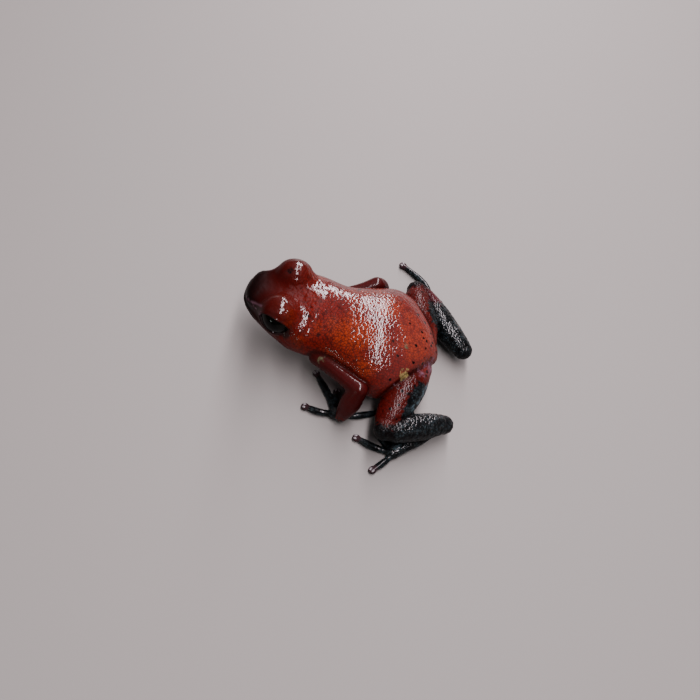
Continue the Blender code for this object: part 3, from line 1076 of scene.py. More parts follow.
def end_group(tree: bpy.types.NodeTree, node: bpy.types.Node, material: bpy.types.Material) -> None:
    """Make a node's geometry real, dress it and give it out of the tree.

    Args:
        tree: The tree to end.
        node: The node with the geometry.
        material: The material to put on.
    """
    real = add_node(tree, "GeometryNodeRealizeInstances", {"Geometry": node.outputs[0]})
    dressed = add_node(
        tree, "GeometryNodeSetMaterial", {"Geometry": real.outputs[0], "Material": material},
    )
    add_node(tree, "NodeGroupOutput", {"Geometry": dressed.outputs[0]})


def run_group(piece: bpy.types.Object, tree: bpy.types.NodeTree, sizes: dict) -> None:
    """Run a tree on a piece, and leave the piece a plain mesh.

    Args:
        piece: The piece.
        tree: The tree, which is removed after the run.
        sizes: Name of each input to its value.
    """
    modifier = piece.modifiers.new(tree.name, "NODES")
    modifier.node_group = tree
    for item in tree.interface.items_tree:
        if item.item_type == "SOCKET" and item.in_out == "INPUT" and item.name in sizes:
            modifier[item.identifier] = sizes[item.name]
    baked(piece)
    bpy.data.node_groups.remove(tree)


@dataclass
class Mixer:
    """Short words for the nodes that a material or a tree is mixed from."""

    tree: bpy.types.NodeTree

    def place(self) -> bpy.types.NodeSocket:
        """Return the place on the object in metres."""
        return add_node(self.tree, "ShaderNodeTexCoord").outputs["Object"]

    def mask(self, name: str) -> bpy.types.NodeSocket:
        """Return a mask stored on the mesh."""
        return add_node(self.tree, "ShaderNodeAttribute", attribute_name=name).outputs["Fac"]

    def noise(self, size: float, detail: float) -> bpy.types.Node:
        """Return noise with blotches of a size in millimetres."""
        values = {"Vector": self.place(), "Scale": 1.0 / (size * MILLIMETRE), "Detail": detail}
        return add_node(self.tree, "ShaderNodeTexNoise", values)

    def cloud(self, size: float, detail: float = 3.0) -> bpy.types.NodeSocket:
        """Return the strength of soft noise with blotches of a size in millimetres."""
        return self.noise(size, detail).outputs["Fac"]

    def ramp(self, value: object, fade: Fade) -> bpy.types.NodeSocket:
        """Return the share of a fade that a value has reached."""
        values = {"Value": value, "From Min": fade.start, "From Max": fade.end}
        return add_node(
            self.tree, "ShaderNodeMapRange", values, interpolation_type="SMOOTHSTEP",
        ).outputs[0]

    def math(self, kind: str, a: object, b: object) -> bpy.types.NodeSocket:
        """Return two values brought together, such as their sum."""
        return add_node(self.tree, "ShaderNodeMath", {0: a, 1: b}, operation=kind).outputs[0]

    def times(self, a: object, b: object) -> bpy.types.NodeSocket:
        """Return a product."""
        return self.math("MULTIPLY", a, b)

    def plus(self, a: object, b: object) -> bpy.types.NodeSocket:
        """Return a sum."""
        return self.math("ADD", a, b)

    def mixed(self, share: object, under: object, over: object) -> bpy.types.NodeSocket:
        """Return one colour laid over another."""
        return add_node(
            self.tree, "ShaderNodeMix", {0: share, 6: under, 7: over}, data_type="RGBA",
        ).outputs[2]

    def laid(self, under: object, share: object, amount: float, code: str) -> bpy.types.NodeSocket:
        """Return a colour with another laid over it, by a share and an amount."""
        return self.mixed(self.times(share, amount), under, linear(code))

    def cells(self, place: object, size: float, feature: str) -> bpy.types.Node:
        """Return a pattern of cells of a size in millimetres."""
        return add_node(
            self.tree, "ShaderNodeTexVoronoi",
            {"Vector": place, "Scale": 1.0 / (size * MILLIMETRE)}, feature=feature,
        )

    def warped(self, size: float, reach: float) -> bpy.types.NodeSocket:
        """Return the place pushed about by noise, both in millimetres."""
        push = self.noise(size, 1.0).outputs["Color"]
        return add_node(
            self.tree, "ShaderNodeVectorMath",
            {0: push, 1: (reach * MILLIMETRE,) * 3, 2: self.place()}, operation="MULTIPLY_ADD",
        ).outputs[0]


@dataclass
class Frame:
    """Turns the frog's own millimetres to the frame's metres."""

    shift: np.ndarray

    @classmethod
    def measured(cls) -> "Frame":
        """Find the shift from the place of the left eyeball in the frame.

        Returns:
            The frame with that shift.
        """
        low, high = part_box("eye_left")
        middle = (np.array(low) + np.array(high)) / 2 / MILLIMETRE
        return cls(middle - Socket(Side.LEFT).centre())

    def metres(self, points: Sequence) -> np.ndarray:
        """Return points of the frog in the frame."""
        return (np.asarray(points, float) + self.shift) * MILLIMETRE

    def floored(self, points: np.ndarray) -> np.ndarray:
        """Return points of the frog with none below the floor."""
        low = np.array([-np.inf, -np.inf, -self.shift[2]])
        return np.maximum(points, low)

    def settle(self, piece: bpy.types.Object) -> None:
        """Move an object's mesh into the frame and let light run smoothly over it."""
        write_points(piece.data, self.metres(read_points(piece.data)))
        piece.data.shade_smooth()


@dataclass(frozen=True)
class Granules:
    """Fine rounded granules of the skin, raised by Geometry Nodes."""

    spacing: float = 0.38
    height: float = 0.048
    seed: float = 7.0
    scatter: float = 0.9
    dome: Fade = Fade(0.62, 0.10)

    def tree(self, material: bpy.types.Material) -> bpy.types.NodeTree:
        """Build the node tree that raises a granule in each cell.

        Args:
            material: The material to put on.

        Returns:
            The tree.
        """
        inputs = dict.fromkeys(("Spacing", "Height", "Seed"), "NodeSocketFloat")
        tree, given = new_group("skin_granules", inputs)
        mix = Mixer(tree)
        place = add_node(tree, "GeometryNodeInputPosition").outputs[0]
        scale = mix.math("DIVIDE", 1.0, given["Spacing"])
        cells = add_node(
            tree, "ShaderNodeTexVoronoi",
            {"Vector": place, "W": given["Seed"], "Scale": scale, "Randomness": self.scatter},
            voronoi_dimensions="4D", feature="F1",
        )
        dome = mix.ramp(cells.outputs["Distance"], self.dome)
        mask = add_node(
            tree, "GeometryNodeInputNamedAttribute", {"Name": "granule"}, data_type="FLOAT",
        )
        height = mix.times(mix.times(dome, given["Height"]), mask.outputs["Attribute"])
        normal = add_node(tree, "GeometryNodeInputNormal").outputs[0]
        offset = add_node(
            tree, "ShaderNodeVectorMath", {0: normal, "Scale": height}, operation="SCALE",
        )
        raised = add_node(
            tree, "GeometryNodeSetPosition",
            {"Geometry": given["Geometry"], "Offset": offset.outputs[0]},
        )
        end_group(tree, raised, material)
        return tree

    def raise_on(self, piece: bpy.types.Object, material: bpy.types.Material) -> None:
        """Raise the granules on a piece and leave it a plain mesh."""
        sizes = {"Spacing": self.spacing, "Height": self.height, "Seed": self.seed}
        run_group(piece, self.tree(material), sizes)


@dataclass(frozen=True)
class Fades:
    """Where each zone of the skin begins and ends.

    Values are in millimetres. But upward reads how far the skin faces up, from
    0 to 1, and thigh_root and knee read the share of the thigh's length.
    """

    parted: Fade = Fade(-0.30, 0.30)
    head: Fade = Fade(-3.4, -8.6)
    snout: Fade = Fade(-7.6, -10.2)
    dry_snout: Fade = Fade(-6.9, -8.4)
    crown: Fade = Fade(1.25, 0.75)
    lid: Fade = Fade(-0.35, -0.05)
    lid_ball: Fade = Fade(2.4, 2.0)
    mound: Fade = Fade(0.5, 0.2)
    wrinkle_front: Fade = Fade(-7.6, -6.9)
    wrinkle_rear: Fade = Fade(-3.6, -4.4)
    wrinkle_low: Fade = Fade(4.6, 5.2)
    # How far the canthus line's painted highlight spreads.
    face_line: Fade = Fade(0.18, 0.04)
    back: Fade = Fade(-2.0, 0.6)
    rear: Fade = Fade(0.0, 6.5)
    wet_rear: Fade = Fade(0.8, 3.5)
    on_trunk: Fade = Fade(0.3, 0.0)
    low: Fade = Fade(5.4, 2.9)
    digit: Fade = Fade(0.35, 0.05)
    disc: Fade = Fade(0.60, 0.40)
    shank: Fade = Fade(0.2, 0.0)
    thigh: Fade = Fade(0.4, 0.0)
    thigh_side: Fade = Fade(1.6, 3.2)
    thigh_skin: Fade = Fade(0.35, 0.05)
    thigh_back: Fade = Fade(0.55, 1.25)
    thigh_root: Fade = Fade(0.15, 0.40)
    knee: Fade = Fade(0.93, 1.08)
    fold: Fade = Fade(0.9, 0.2)
    upward: Fade = Fade(0.52, 0.90)
    digit_area: Fade = Fade(0.5, 0.1)
    near_trunk: Fade = Fade(1.1, 0.3)
    near_lids: Fade = Fade(1.0, 0.3)


LOSSES = {
    "granule": {"head": 0.8, "lid": 1.0, "digit": 0.9, "arm": 0.8},
    "beads": {"head": 0.8, "lid": 1.0, "digit": 0.5, "arm": 0.7},
    "mottle": {"head": 0.9, "lid": 1.0, "arm": 0.6},
    "film": {"crown": 1.0, "wide_fold": 0.9, "arm": 0.35, "thigh": 0.75, "digit": 0.5},
}


def nearest(near: dict, *names: str) -> np.ndarray:
    """Return the distance from the nearest of the named parts of either side."""
    return np.min([near[f"{name}_{side.word}"] for name in names for side in Side], axis=0)


@dataclass
class Skin:
    """The one skin over head, body and limbs.

    LOSSES says what share of a mask each zone takes away.
    """

    frame: Frame
    trunk: Trunk = field(default_factory=Trunk)
    mouth: Mouth = field(default_factory=Mouth)
    granules: Granules = field(default_factory=Granules)
    fades: Fades = field(default_factory=Fades)
    voxel: float = 0.112
    canthus_stops: tuple = (
        (0.95, -0.40, -9.9, 4.95), (1.55, -0.38, -8.9, 5.20), (1.75, -0.31, -7.6, 5.50),
    )
    canthus_radii: tuple = (0.50, 0.70, 1.05)
    temple_place: tuple = (2.00, -0.25, -6.15, 4.95)
    temple_half_sizes: tuple = (1.5, 1.45, 1.75)
    cheek_place: tuple = (2.2, 0.0, -8.9, 4.75)
    cheek_stretch: tuple = (1.0, 0.7, 1.3)
    cheek: Ridge = Ridge(-0.16, 0.8)
    snout_edge: tuple = ((1.25, -0.3, -9.9, 5.55), (2.0, -0.3, -8.6, 6.0))
    snout_ridge: Ridge = Ridge(0.07, 0.35)
    # The canthus line, where a pale painted highlight runs along the snout's edge.
    face_line: tuple = (
        (1.08, -0.33, -10.46, 5.23), (1.45, -0.33, -10.03, 5.36), (1.79, -0.33, -9.46, 5.64),
        (2.13, -0.33, -8.95, 6.05), (2.31, -0.33, -8.66, 6.34),
    )
    crown_line: tuple = ((-0.60, -7.20, 6.30), (-0.45, -5.80, 6.30), (0.20, -4.20, 6.30))
    digit_field: tuple = (0.31, 0.27, 0.3)
    digit_hold: float = 0.5
    even_passes: int = 10
    even_pull: float = 0.60
    even_push: float = 0.52
    melt_passes: int = 70
    melt_pull: float = 0.6
    lid_splits: tuple = (0.40, 0.22)
    lid_split_gap: float = 0.8
    uneven_scale: float = 0.55
    uneven_height: float = 0.05
    fold_width: float = 0.22
    wide_fold: float = 0.5
    fold_depth: float = 0.10
    granule_least: float = 0.07
    granule_thigh: float = 0.30
    granule_shank: float = 0.93
    bead_front: float = 0.24
    bead_back: float = 0.26
    bead_mound: float = 0.35
    bead_limb: float = 0.75
    # Share of the colour's blotches and of the painted shade in the gaps between granules.
    mottle: float = 0.70
    film_least: float = 0.08
    film_rear: float = 0.34
    snout_dryness: float = 0.95
    thigh_speckle: float = 0.28
    black_rear: float = 0.5

    def forms(self) -> Form:
        """Gather the closed forms that the skin is drawn over.

        Returns:
            One form that holds them all.
        """
        forms = [self.trunk.form(), self.mouth.lips(self.trunk)]
        for side in Side:
            socket = Socket(side)
            canthus = [beside(side, *stop) for stop in self.canthus_stops]
            forms.append(Ball(socket.centre(), (socket.lid_radius,) * 3, 0.0, 60).form())
            forms.append(Limb(canthus, self.canthus_radii).form())
            forms.append(Ball(beside(side, *self.temple_place), self.temple_half_sizes).form())
            forms += Arm(side).forms() + Leg(side).forms()
        return Form.joined(forms)

    def field_of(self, points: np.ndarray, path: np.ndarray, radii: tuple) -> np.ndarray:
        """Return the distance of points from the surface of one limb part."""
        gap, place = distance_to_path(points, path)
        return gap - read_curve(np.array(radii)[:, None], place * (len(radii) - 1))[:, 0]

    def regions(self, points: np.ndarray) -> dict:
        """Measure how far points lie from the surface of every limb part.

        Args:
            points: The points, in the frog's millimetres.

        Returns:
            The distances under each part's name and side, and under digit.
        """
        near = {}
        digits = []
        for side in Side:
            for limb in (Arm(side), Leg(side)):
                for name, part in limb.parts().items():
                    near[f"{name}_{side.word}"] = self.field_of(points, *part)
                for joints in limb.digits().joints():
                    digits.append(self.field_of(points, np.array(joints), self.digit_field))
        near["digit"] = np.min(digits, axis=0)
        return near

    def trunk_gap(self, points: np.ndarray) -> np.ndarray:
        """Measure about how far points lie outside the trunk.

        Args:
            points: The points, in the frog's millimetres.

        Returns:
            The distances, negative inside.
        """
        table = self.trunk.table()
        places = np.interp(points[:, 1], table[:, 0], np.arange(len(table)))
        _, middle, width, level, rise, drop, square = read_curve(table, places).T
        across = np.abs(points[:, 0] - middle) / width
        up = points[:, 2] - level
        up = np.abs(up) / np.where(up > 0.0, rise, drop)
        radius = (across ** square + up ** square) ** (1.0 / square)
        return (radius - 1.0) * np.minimum(width, rise)

    def smoothed(self, points: np.ndarray, edges: np.ndarray) -> np.ndarray:
        """Even out the skin, and melt the creases at the trunk into wide hollows.

        Args:
            points: The points, in the frog's millimetres.
            edges: Pairs of vertex numbers.

        Returns:
            The moved points.
        """
        even = 1.0 - self.digit_hold * self.fades.digit_area.of(self.regions(points)["digit"])
        for _ in range(self.even_passes):
            points = drawn(points, edges, even * self.even_pull)
            points = drawn(points, edges, even * -self.even_push)
        trunk = np.abs(self.trunk_gap(points))
        lids = np.min([np.abs(Socket(side).lid_gap(points)) for side in Side], axis=0)
        crease = self.fades.near_trunk.of(trunk) * self.fades.near_lids.of(lids)
        for _ in range(self.melt_passes):
            points = drawn(points, edges, crease * self.melt_pull)
        return points

    def folds(self, points: np.ndarray, normals: np.ndarray) -> np.ndarray:
        """Work out the body's hollows, ridges and slight unevenness.

        Args:
            points: The points, in the frog's millimetres.
            normals: Which way the skin faces at each point.

        Returns:
            The move of each point.
        """
        push = np.zeros(len(points))
        for side in Side:
            away = (points - beside(side, *self.cheek_place)) * self.cheek_stretch
            push += self.cheek.at(np.linalg.norm(away, axis=1))
            edge = [beside(side, *stop) for stop in self.snout_edge]
            push += self.snout_ridge.at(gap_to_line(points, edge))
        uneven = np.array([noise.noise(Vector(p) * self.uneven_scale) for p in points])
        creases = self.creases(points, self.regions(points), self.fold_width)
        push += self.uneven_height * uneven - self.fold_depth * creases
        return normals * push[:, None]

    def split_lids(self, mesh: bpy.types.Mesh, reach: float) -> None:
        """Split the mesh more finely along the lids' edges.

        Args:
            mesh: The skin's mesh.
            reach: How far from an edge, in millimetres.
        """
        points = read_points(mesh)
        marked = np.zeros(len(points), bool)
        for side in Side:
            socket = Socket(side)
            close = socket.lid_gap(points) < self.lid_split_gap
            marked |= (np.abs(socket.openness(points)) < reach) & close
        refine(mesh, marked)

    def shape(self, mesh: bpy.types.Mesh) -> None:
        """Smooth the skin and shape the face, folds and limbs.

        Args:
            mesh: The skin's mesh.
        """
        points = self.smoothed(read_points(mesh), read_edges(mesh))
        write_points(mesh, points)
        points = points + self.folds(points, read_normals(mesh))
        write_points(mesh, points)
        write_points(mesh, self.mouth.shape(points, read_normals(mesh), self.trunk))
        for reach in self.lid_splits:
            self.split_lids(mesh, reach)
        points = read_points(mesh)
        for side in Side:
            points = Socket(side).shape(points)
        write_points(mesh, self.frame.floored(points))

    def creases(self, points: np.ndarray, near: dict, width: float) -> np.ndarray:
        """Find where two body parts meet in a fold.

        Args:
            points: The points, in the frog's millimetres.
            near: The distance of the points from each body part.
            width: How wide the fold is.

        Returns:
            How deep in a fold each point lies, from 0 to 1.
        """
        trunk = self.trunk_gap(points)
        folds = []
        for side in Side:
            names = ("upper", "thigh", "shank", "tarsus")
            upper, thigh, shank, tarsus = [near[f"{name}_{side.word}"] for name in names]
            for one, other in ((trunk, upper), (trunk, thigh), (thigh, shank), (shank, tarsus)):
                meeting = self.fades.fold.of(np.maximum(one, other))
                folds.append(hump(one - other, width) * meeting)
        return np.max(folds, axis=0)

    def thigh_rear(self, points: np.ndarray, near: dict) -> np.ndarray:
        """Find where the rear side and the knee of each thigh are black.

        Args:
            points: The points, in the frog's millimetres.
            near: The distance of the points from each body part.

        Returns:
            How black each point is, from 0 to 1.
        """
        black = np.zeros(len(points))
        for side in Side:
            hip, _, knee = Leg(side).parts()["thigh"][0]
            length = np.linalg.norm(knee - hip)
            axis = (knee - hip) / length
            across = unit(np.cross(np.array([0.0, 0.0, 1.0]), axis)) * side.value
            along = (points - hip) @ axis / length
            rear = self.fades.thigh_back.of((points - hip) @ across)
            rear = rear * self.fades.thigh_root.of(along)
            on_thigh = self.fades.thigh_skin.of(near[f"thigh_{side.word}"])
            black = np.maximum(black, on_thigh * np.maximum(rear, self.fades.knee.of(along)))
        return black

    def zones(self, mesh: bpy.types.Mesh) -> dict:
        """Find how far each vertex belongs to each zone of the skin.

        Args:
            mesh: The skin's mesh.

        Returns:
            The shares from 0 to 1 under each zone's name.
        """
        fades = self.fades
        points = read_points(mesh)
        x, y, z = points.T
        near = self.regions(points)
        trunk = self.trunk_gap(points)
        arms = nearest(near, "upper", "lower")
        black_parts = np.minimum(nearest(near, "shank", "tarsus", "hand", "foot"), near["digit"])
        red_parts = np.min([trunk, arms, nearest(near, "thigh")], axis=0)
        black = fades.parted.of(red_parts - black_parts)
        arm = fades.parted.of(np.minimum(trunk, black_parts) - arms)
        shank = fades.shank.of(nearest(near, "shank", "tarsus"))
        thigh = fades.thigh.of(nearest(near, "thigh")) * fades.thigh_side.of(np.abs(x))
        sockets = [Socket(side) for side in Side]
        mounds = np.min([np.abs(socket.lid_gap(points)) for socket in sockets], axis=0)
        lids = np.max([
            fades.lid.of(socket.openness(points)) * fades.lid_ball.of(gap_to(points, socket.centre()))
            for socket in sockets
        ], axis=0)
        lines = np.min([
            gap_to_line(points, [beside(side, *stop) for stop in self.face_line]) for side in Side
        ], axis=0)
        tips = np.min([
            gap_to(points, tip)
            for side in Side for limb in (Arm(side), Leg(side)) for _, _, tip in limb.digits().joints()
        ], axis=0)
        return {
            "black": black,
            "arm": arm,
            "shank": shank,
            "thigh": thigh * (1.0 - shank),
            "thigh_rear": self.thigh_rear(points, near),
            "digit": fades.digit.of(near["digit"]),
            "disc": fades.disc.of(tips),
            "lid": lids,
            "mound": fades.mound.of(mounds),
            "head": fades.head.of(y),
            "snout": fades.snout.of(y),
            "dry_snout": fades.dry_snout.of(y),
            "crown": fades.crown.of(gap_to_line(points, self.crown_line)),
            "face_line": fades.face_line.of(lines),
            "wrinkles": fades.wrinkle_front.of(y) * fades.wrinkle_rear.of(y) * fades.wrinkle_low.of(z),
            "back": fades.back.of(y),
            # The rear carries the flecks, and the painted sheen.
            "rear": fades.rear.of(y) * (1.0 - arm) * (1.0 - self.black_rear * black),
            "wet_rear": fades.wet_rear.of(y) * fades.on_trunk.of(trunk),
            "flank": fades.low.of(z) * (1.0 - black),
            # Folds, which the material darkens with painted shade.
            "fold": self.creases(points, near, self.fold_width),
            "wide_fold": self.creases(points, near, self.wide_fold),
            "upward": fades.upward.of(read_normals(mesh)[:, 2]),
        }

    def masks(self, mesh: bpy.types.Mesh) -> None:
        """Store what the granules and the material read at each vertex.

        Args:
            mesh: The skin's mesh.
        """
        zones = self.zones(mesh)
        thigh, shank = zones["thigh"], zones["shank"]
        back = self.bead_front + self.bead_back * zones["back"] + self.bead_mound * zones["mound"]
        film = self.film_least + (1.0 - self.film_least) * zones["upward"]
        film = film * (1.0 - self.snout_dryness * zones["dry_snout"])
        amounts = {
            "granule": self.granule_least + self.granule_thigh * thigh + self.granule_shank * shank,
            "beads": back + (self.bead_limb - back) * thigh + self.bead_limb * shank,
            "mottle": np.full(len(thigh), self.mottle),
            "film": np.maximum(film, self.film_rear * zones["wet_rear"]),
        }
        for name, amount in amounts.items():
            for zone, loss in LOSSES[name].items():
                amount = amount * (1.0 - loss * zones[zone])
            add_mask(mesh, name, amount)
        zones["black"] = np.maximum(zones["black"], zones["thigh_rear"]) + self.thigh_speckle * thigh
        for name in (
            "black", "arm", "thigh", "disc", "lid", "head", "snout", "face_line", "wrinkles",
            "rear", "flank", "fold",
        ):
            add_mask(mesh, name, zones[name])
        points = read_points(mesh)
        for tint in Tint:
            spots = [mark.strength * hump(gap_to(points, mark.place), mark.radius)
                     for mark in MARKS if mark.tint is tint]
            add_mask(mesh, tint.value, np.max(spots, axis=0))

    def build(self, finish: "WetSkin") -> bpy.types.Object:
        """Build and dress the skin.

        Args:
            finish: The skin's finish.

        Returns:
            The skin as a plain mesh in the frame.
        """
        piece = link("frog_skin", to_mesh("frog_skin", self.forms()))
        remesh = piece.modifiers.new("drawn_over", "REMESH")
        remesh.mode = "VOXEL"
        remesh.voxel_size = self.voxel
        baked(piece)
        LOG.info("skin drawn over with %d vertices", len(piece.data.vertices))
        self.shape(piece.data)
        self.masks(piece.data)
        self.granules.raise_on(piece, finish.make())
        write_points(piece.data, self.frame.floored(read_points(piece.data)))
        self.frame.settle(piece)
        return piece


@dataclass
class Eyeball:
    """One glossy black eye with its slightly raised cornea."""

    frame: Frame
    side: Side
    sides: int = 96
    cornea_rise: float = 0.05
    cornea: Fade = Fade(48.0, 0.0)

    def build(self, finish: "WetEye") -> bpy.types.Object:
        """Build and dress the eyeball.

        Args:
            finish: The eye's finish.

        Returns:
            The eye as a plain mesh in the frame.
        """
        socket = Socket(self.side)
        form = Ball((0.0, 0.0, 0.0), (1.0, 1.0, 1.0), 0.0, self.sides).form()
        angle = np.degrees(np.arccos(np.clip(form.points[:, 2], -1.0, 1.0)))
        rise = 1.0 + self.cornea_rise * self.cornea.of(angle)
        out, forward, up = socket.axes()
        local = form.points * rise[:, None] * socket.radius
        placed = local[:, 2:] * out + local[:, :1] * forward + local[:, 1:2] * up + socket.centre()
        piece = link(f"frog_eye_{self.side.word}", to_mesh("frog_eye", Form(placed, form.faces)))
        add_mask(piece.data, "off_axis", angle / 90.0)
        piece.data.materials.append(finish.make())
        self.frame.settle(piece)
        return piece


@dataclass(frozen=True)
class DiscPlates:
    """The pair of small pale plates on top of each finger and toe disc."""

    length: float = 0.36
    width: float = 0.23
    thickness: float = 0.09
    apart: float = 0.27
    ahead: float = 0.10
    seat: float = 0.84

    def tree(self, material: bpy.types.Material) -> bpy.types.NodeTree:
        """Build the node tree that sets a plate on each point.

        Args:
            material: The material to put on.

        Returns:
            The tree.
        """
        tree, given = new_group("disc_plates", {"Plate": "NodeSocketVector"})
        ball = add_node(
            tree, "GeometryNodeMeshUVSphere", {"Segments": 12, "Rings": 8, "Radius": 0.5},
        )
        heading = add_node(
            tree, "GeometryNodeInputNamedAttribute", {"Name": "heading"}, data_type="FLOAT",
        )
        turn = add_node(tree, "ShaderNodeCombineXYZ", {"Z": heading.outputs["Attribute"]})
        plates = add_node(
            tree, "GeometryNodeInstanceOnPoints",
            {"Points": given["Geometry"], "Instance": ball.outputs["Mesh"],
             "Rotation": turn.outputs[0], "Scale": given["Plate"]},
        )
        end_group(tree, plates, material)
        return tree

    def points(self) -> tuple:
        """Work out where the plates lie.

        Returns:
            The middle and the heading of every plate.
        """
        places, headings = [], []
        for limb in [kind(side) for side in Side for kind in (Arm, Leg)]:
            digits = limb.digits()
            for _, bend, tip in digits.joints():
                heading = digits.heading(bend, tip)
                ahead = np.array([math.cos(heading), math.sin(heading), 0.0])
                aside = np.array([-ahead[1], ahead[0], 0.0])
                top = np.array(tip) + (0.0, 0.0, digits.disc_half_sizes[2] * self.seat)
                for share in (-0.5, 0.5):
                    places.append(top + ahead * self.ahead + aside * self.apart * share)
                    headings.append(heading)
        return np.array(places), np.array(headings)

    def build(self, frame: Frame, finish: "PlateHorn") -> bpy.types.Object:
        """Build and dress all plates.

        Args:
            frame: Turns millimetres to the frame.
            finish: The plates' finish.

        Returns:
            The plates as a plain mesh in the frame.
        """
        places, headings = self.points()
        mesh = bpy.data.meshes.new("disc_plates")
        mesh.from_pydata(places.tolist(), [], [])
        layer = mesh.attributes.new("heading", "FLOAT", "POINT")
        layer.data.foreach_set("value", headings.astype(np.float32))
        piece = link("disc_plates", mesh)
        run_group(piece, self.tree(finish.make()), {"Plate": (self.length, self.width, self.thickness)})
        frame.settle(piece)
        return piece


def new_material(name: str) -> tuple:
    """Start a material.

    Args:
        name: Name of the material.

    Returns:
        The material, its shader and the maker of its further nodes.
    """
    material = bpy.data.materials.new(name)
    material.use_nodes = True
    tree = material.node_tree
    return material, tree.nodes["Principled BSDF"], Mixer(tree)


@dataclass(frozen=True)
class Layer:
    """A colour that is laid over the skin where a mask says so."""

    mask: str
    colour: str
    amount: float = 1.0


@dataclass(frozen=True)
class WetSkin:
    """Wet, thin, glandular frog skin: saturated colour under a clear film of slime.

    The film follows each rounded gland, so a long light breaks into small
    bright beads with dark gaps, and the colour below looks deep and full.
    Sizes are in millimetres.
    """

    red: str = "#6E140A"
    orange: str = "#96300F"
    deep_red: str = "#330502"
    # A milky pink painted sheen laid over the rear.
    sheen: str = "#8E4A46"
    black: str = "#050607"
    # Painted blue-grey highlights on the tops of the black parts' beads.
    blue_grey: str = "#2C3639"
    maroon: str = "#4A0C16"
    dark: str = "#0A0303"
    zones: tuple = (
        Layer("flank", "#6A1410", 0.85),
        Layer("head", "#3C0705"),
        Layer("snout", "#0C0202"),
        Layer("arm", "#420B0B"),
        Layer("thigh", "#420906", 0.8),
    )
    # The face line is a painted highlight; the discs' colour is their own.
    details: tuple = (Layer("face_line", "#74505E", 0.6), Layer("disc", "#3A2428", 0.8))
    marks: tuple = (
        # Mauve: painted sheen on the rump, its crease and the canthus line.
        Layer(Tint.MAUVE.value, "#74505E"),
        Layer(Tint.PALE.value, "#5A5A42"),
        Layer(Tint.GOLD.value, "#A8955C"),
        Layer(Tint.DARK.value, "#0A0303"),
        # Steel: a grey foot tubercle, and a painted highlight on the thigh's rear edge.
        Layer(Tint.STEEL.value, "#52656C"),
    )
    warp_size: float = 0.5
    bead_warp: float = 0.22
    bead_size: float = 0.27
    bead_curve: float = -4.0
    bead_edge: Fade = Fade(0.0, 0.16)
    bead_height: float = 0.013
    groove_depth: float = 0.005
    swell_size: float = 0.55
    swell_height: float = 0.032
    wrinkle_size: float = 0.42
    wrinkle_height: float = 0.105
    patch_size: float = 2.6
    patch: Fade = Fade(0.48, 0.78)
    patch_warmth: float = 0.22
    gap: Fade = Fade(1.0, 0.2)
    blotch_size: float = 0.35
    blotch: Fade = Fade(0.50, 0.68)
    blotch_amount: float = 0.9
    sheen_amount: float = 0.26
    fleck_warp: float = 0.25
    fleck_spacing: float = 0.68
    fleck: Fade = Fade(0.26, 0.156)
    fleck_share: float = 0.80
    fleck_chance: Fade = Fade(0.0, 0.06)
    raggedness: float = 1.1
    black_edge: Fade = Fade(0.40, 0.60)
    grey_size: float = 0.5
    grey_bead: Fade = Fade(0.45, 1.0)
    grey_patch: Fade = Fade(0.35, 0.65)
    maroon_edge: Fade = Fade(0.35, 0.65)
    # How much painted shade the folds get, and how dark the lid edges and folds are.
    fold_share: float = 0.8
    darkness: float = 0.85
    mark_raggedness: float = 1.9
    mark_edge: Fade = Fade(0.40, 0.85)
    mark_core: Fade = Fade(0.10, 0.35)
    mark_gap: float = 0.45
    mark_top: float = 0.5

    def make(self) -> bpy.types.Material:
        """Mix the skin's material.

        Returns:
            The material.
        """
        material, shader, mix = new_material("wet_granular_skin")
        place = mix.warped(self.warp_size, self.bead_warp)
        off_middle = mix.cells(place, self.bead_size, "F1").outputs["Distance"]
        edge = mix.cells(place, self.bead_size, "DISTANCE_TO_EDGE").outputs["Distance"]
        top = mix.ramp(edge, self.bead_edge)
        normal = self.relief(mix, off_middle, top)
        shader.inputs["Roughness"].default_value = 0.45
        shader.inputs["IOR"].default_value = 1.40
        shader.inputs["Specular IOR Level"].default_value = 0.12
        shader.inputs["Coat Roughness"].default_value = 0.06
        shader.inputs["Coat IOR"].default_value = 1.55
        shader.inputs["Subsurface Weight"].default_value = 0.06
        shader.inputs["Subsurface Radius"].default_value = (1.0, 0.25, 0.12)
        shader.inputs["Subsurface Scale"].default_value = 0.0003
        feed(mix.tree, shader, {
            "Base Color": self.colour(mix, top), "Coat Weight": mix.mask("film"),
            "Normal": normal, "Coat Normal": normal,
        })
        return material

    def relief(
        self, mix: Mixer, off_middle: bpy.types.NodeSocket, top: bpy.types.NodeSocket,
    ) -> bpy.types.NodeSocket:
        """Return the normal of beads, swellings and wrinkles.

        Args:
            mix: Makes the nodes.
            off_middle: Distance from the middle of each bead.
            top: 1 on the tops of the beads and 0 in the gaps.

        Returns:
            The normal's socket.
        """
        sag = mix.times(mix.times(off_middle, off_middle), self.bead_curve)
        bead = mix.plus(mix.times(sag, self.bead_height), mix.times(top, self.groove_depth))
        grain = mix.times(bead, mix.mask("beads"))
        swell = mix.times(mix.cloud(self.swell_size, 1.0), self.swell_height)
        wrinkle = mix.times(mix.cloud(self.wrinkle_size, 1.0), self.wrinkle_height)
        swell = mix.plus(swell, mix.times(wrinkle, mix.mask("wrinkles")))
        height = mix.plus(grain, swell)
        values = {"Strength": 1.0, "Distance": MILLIMETRE, "Height": height}
        return add_node(mix.tree, "ShaderNodeBump", values).outputs[0]

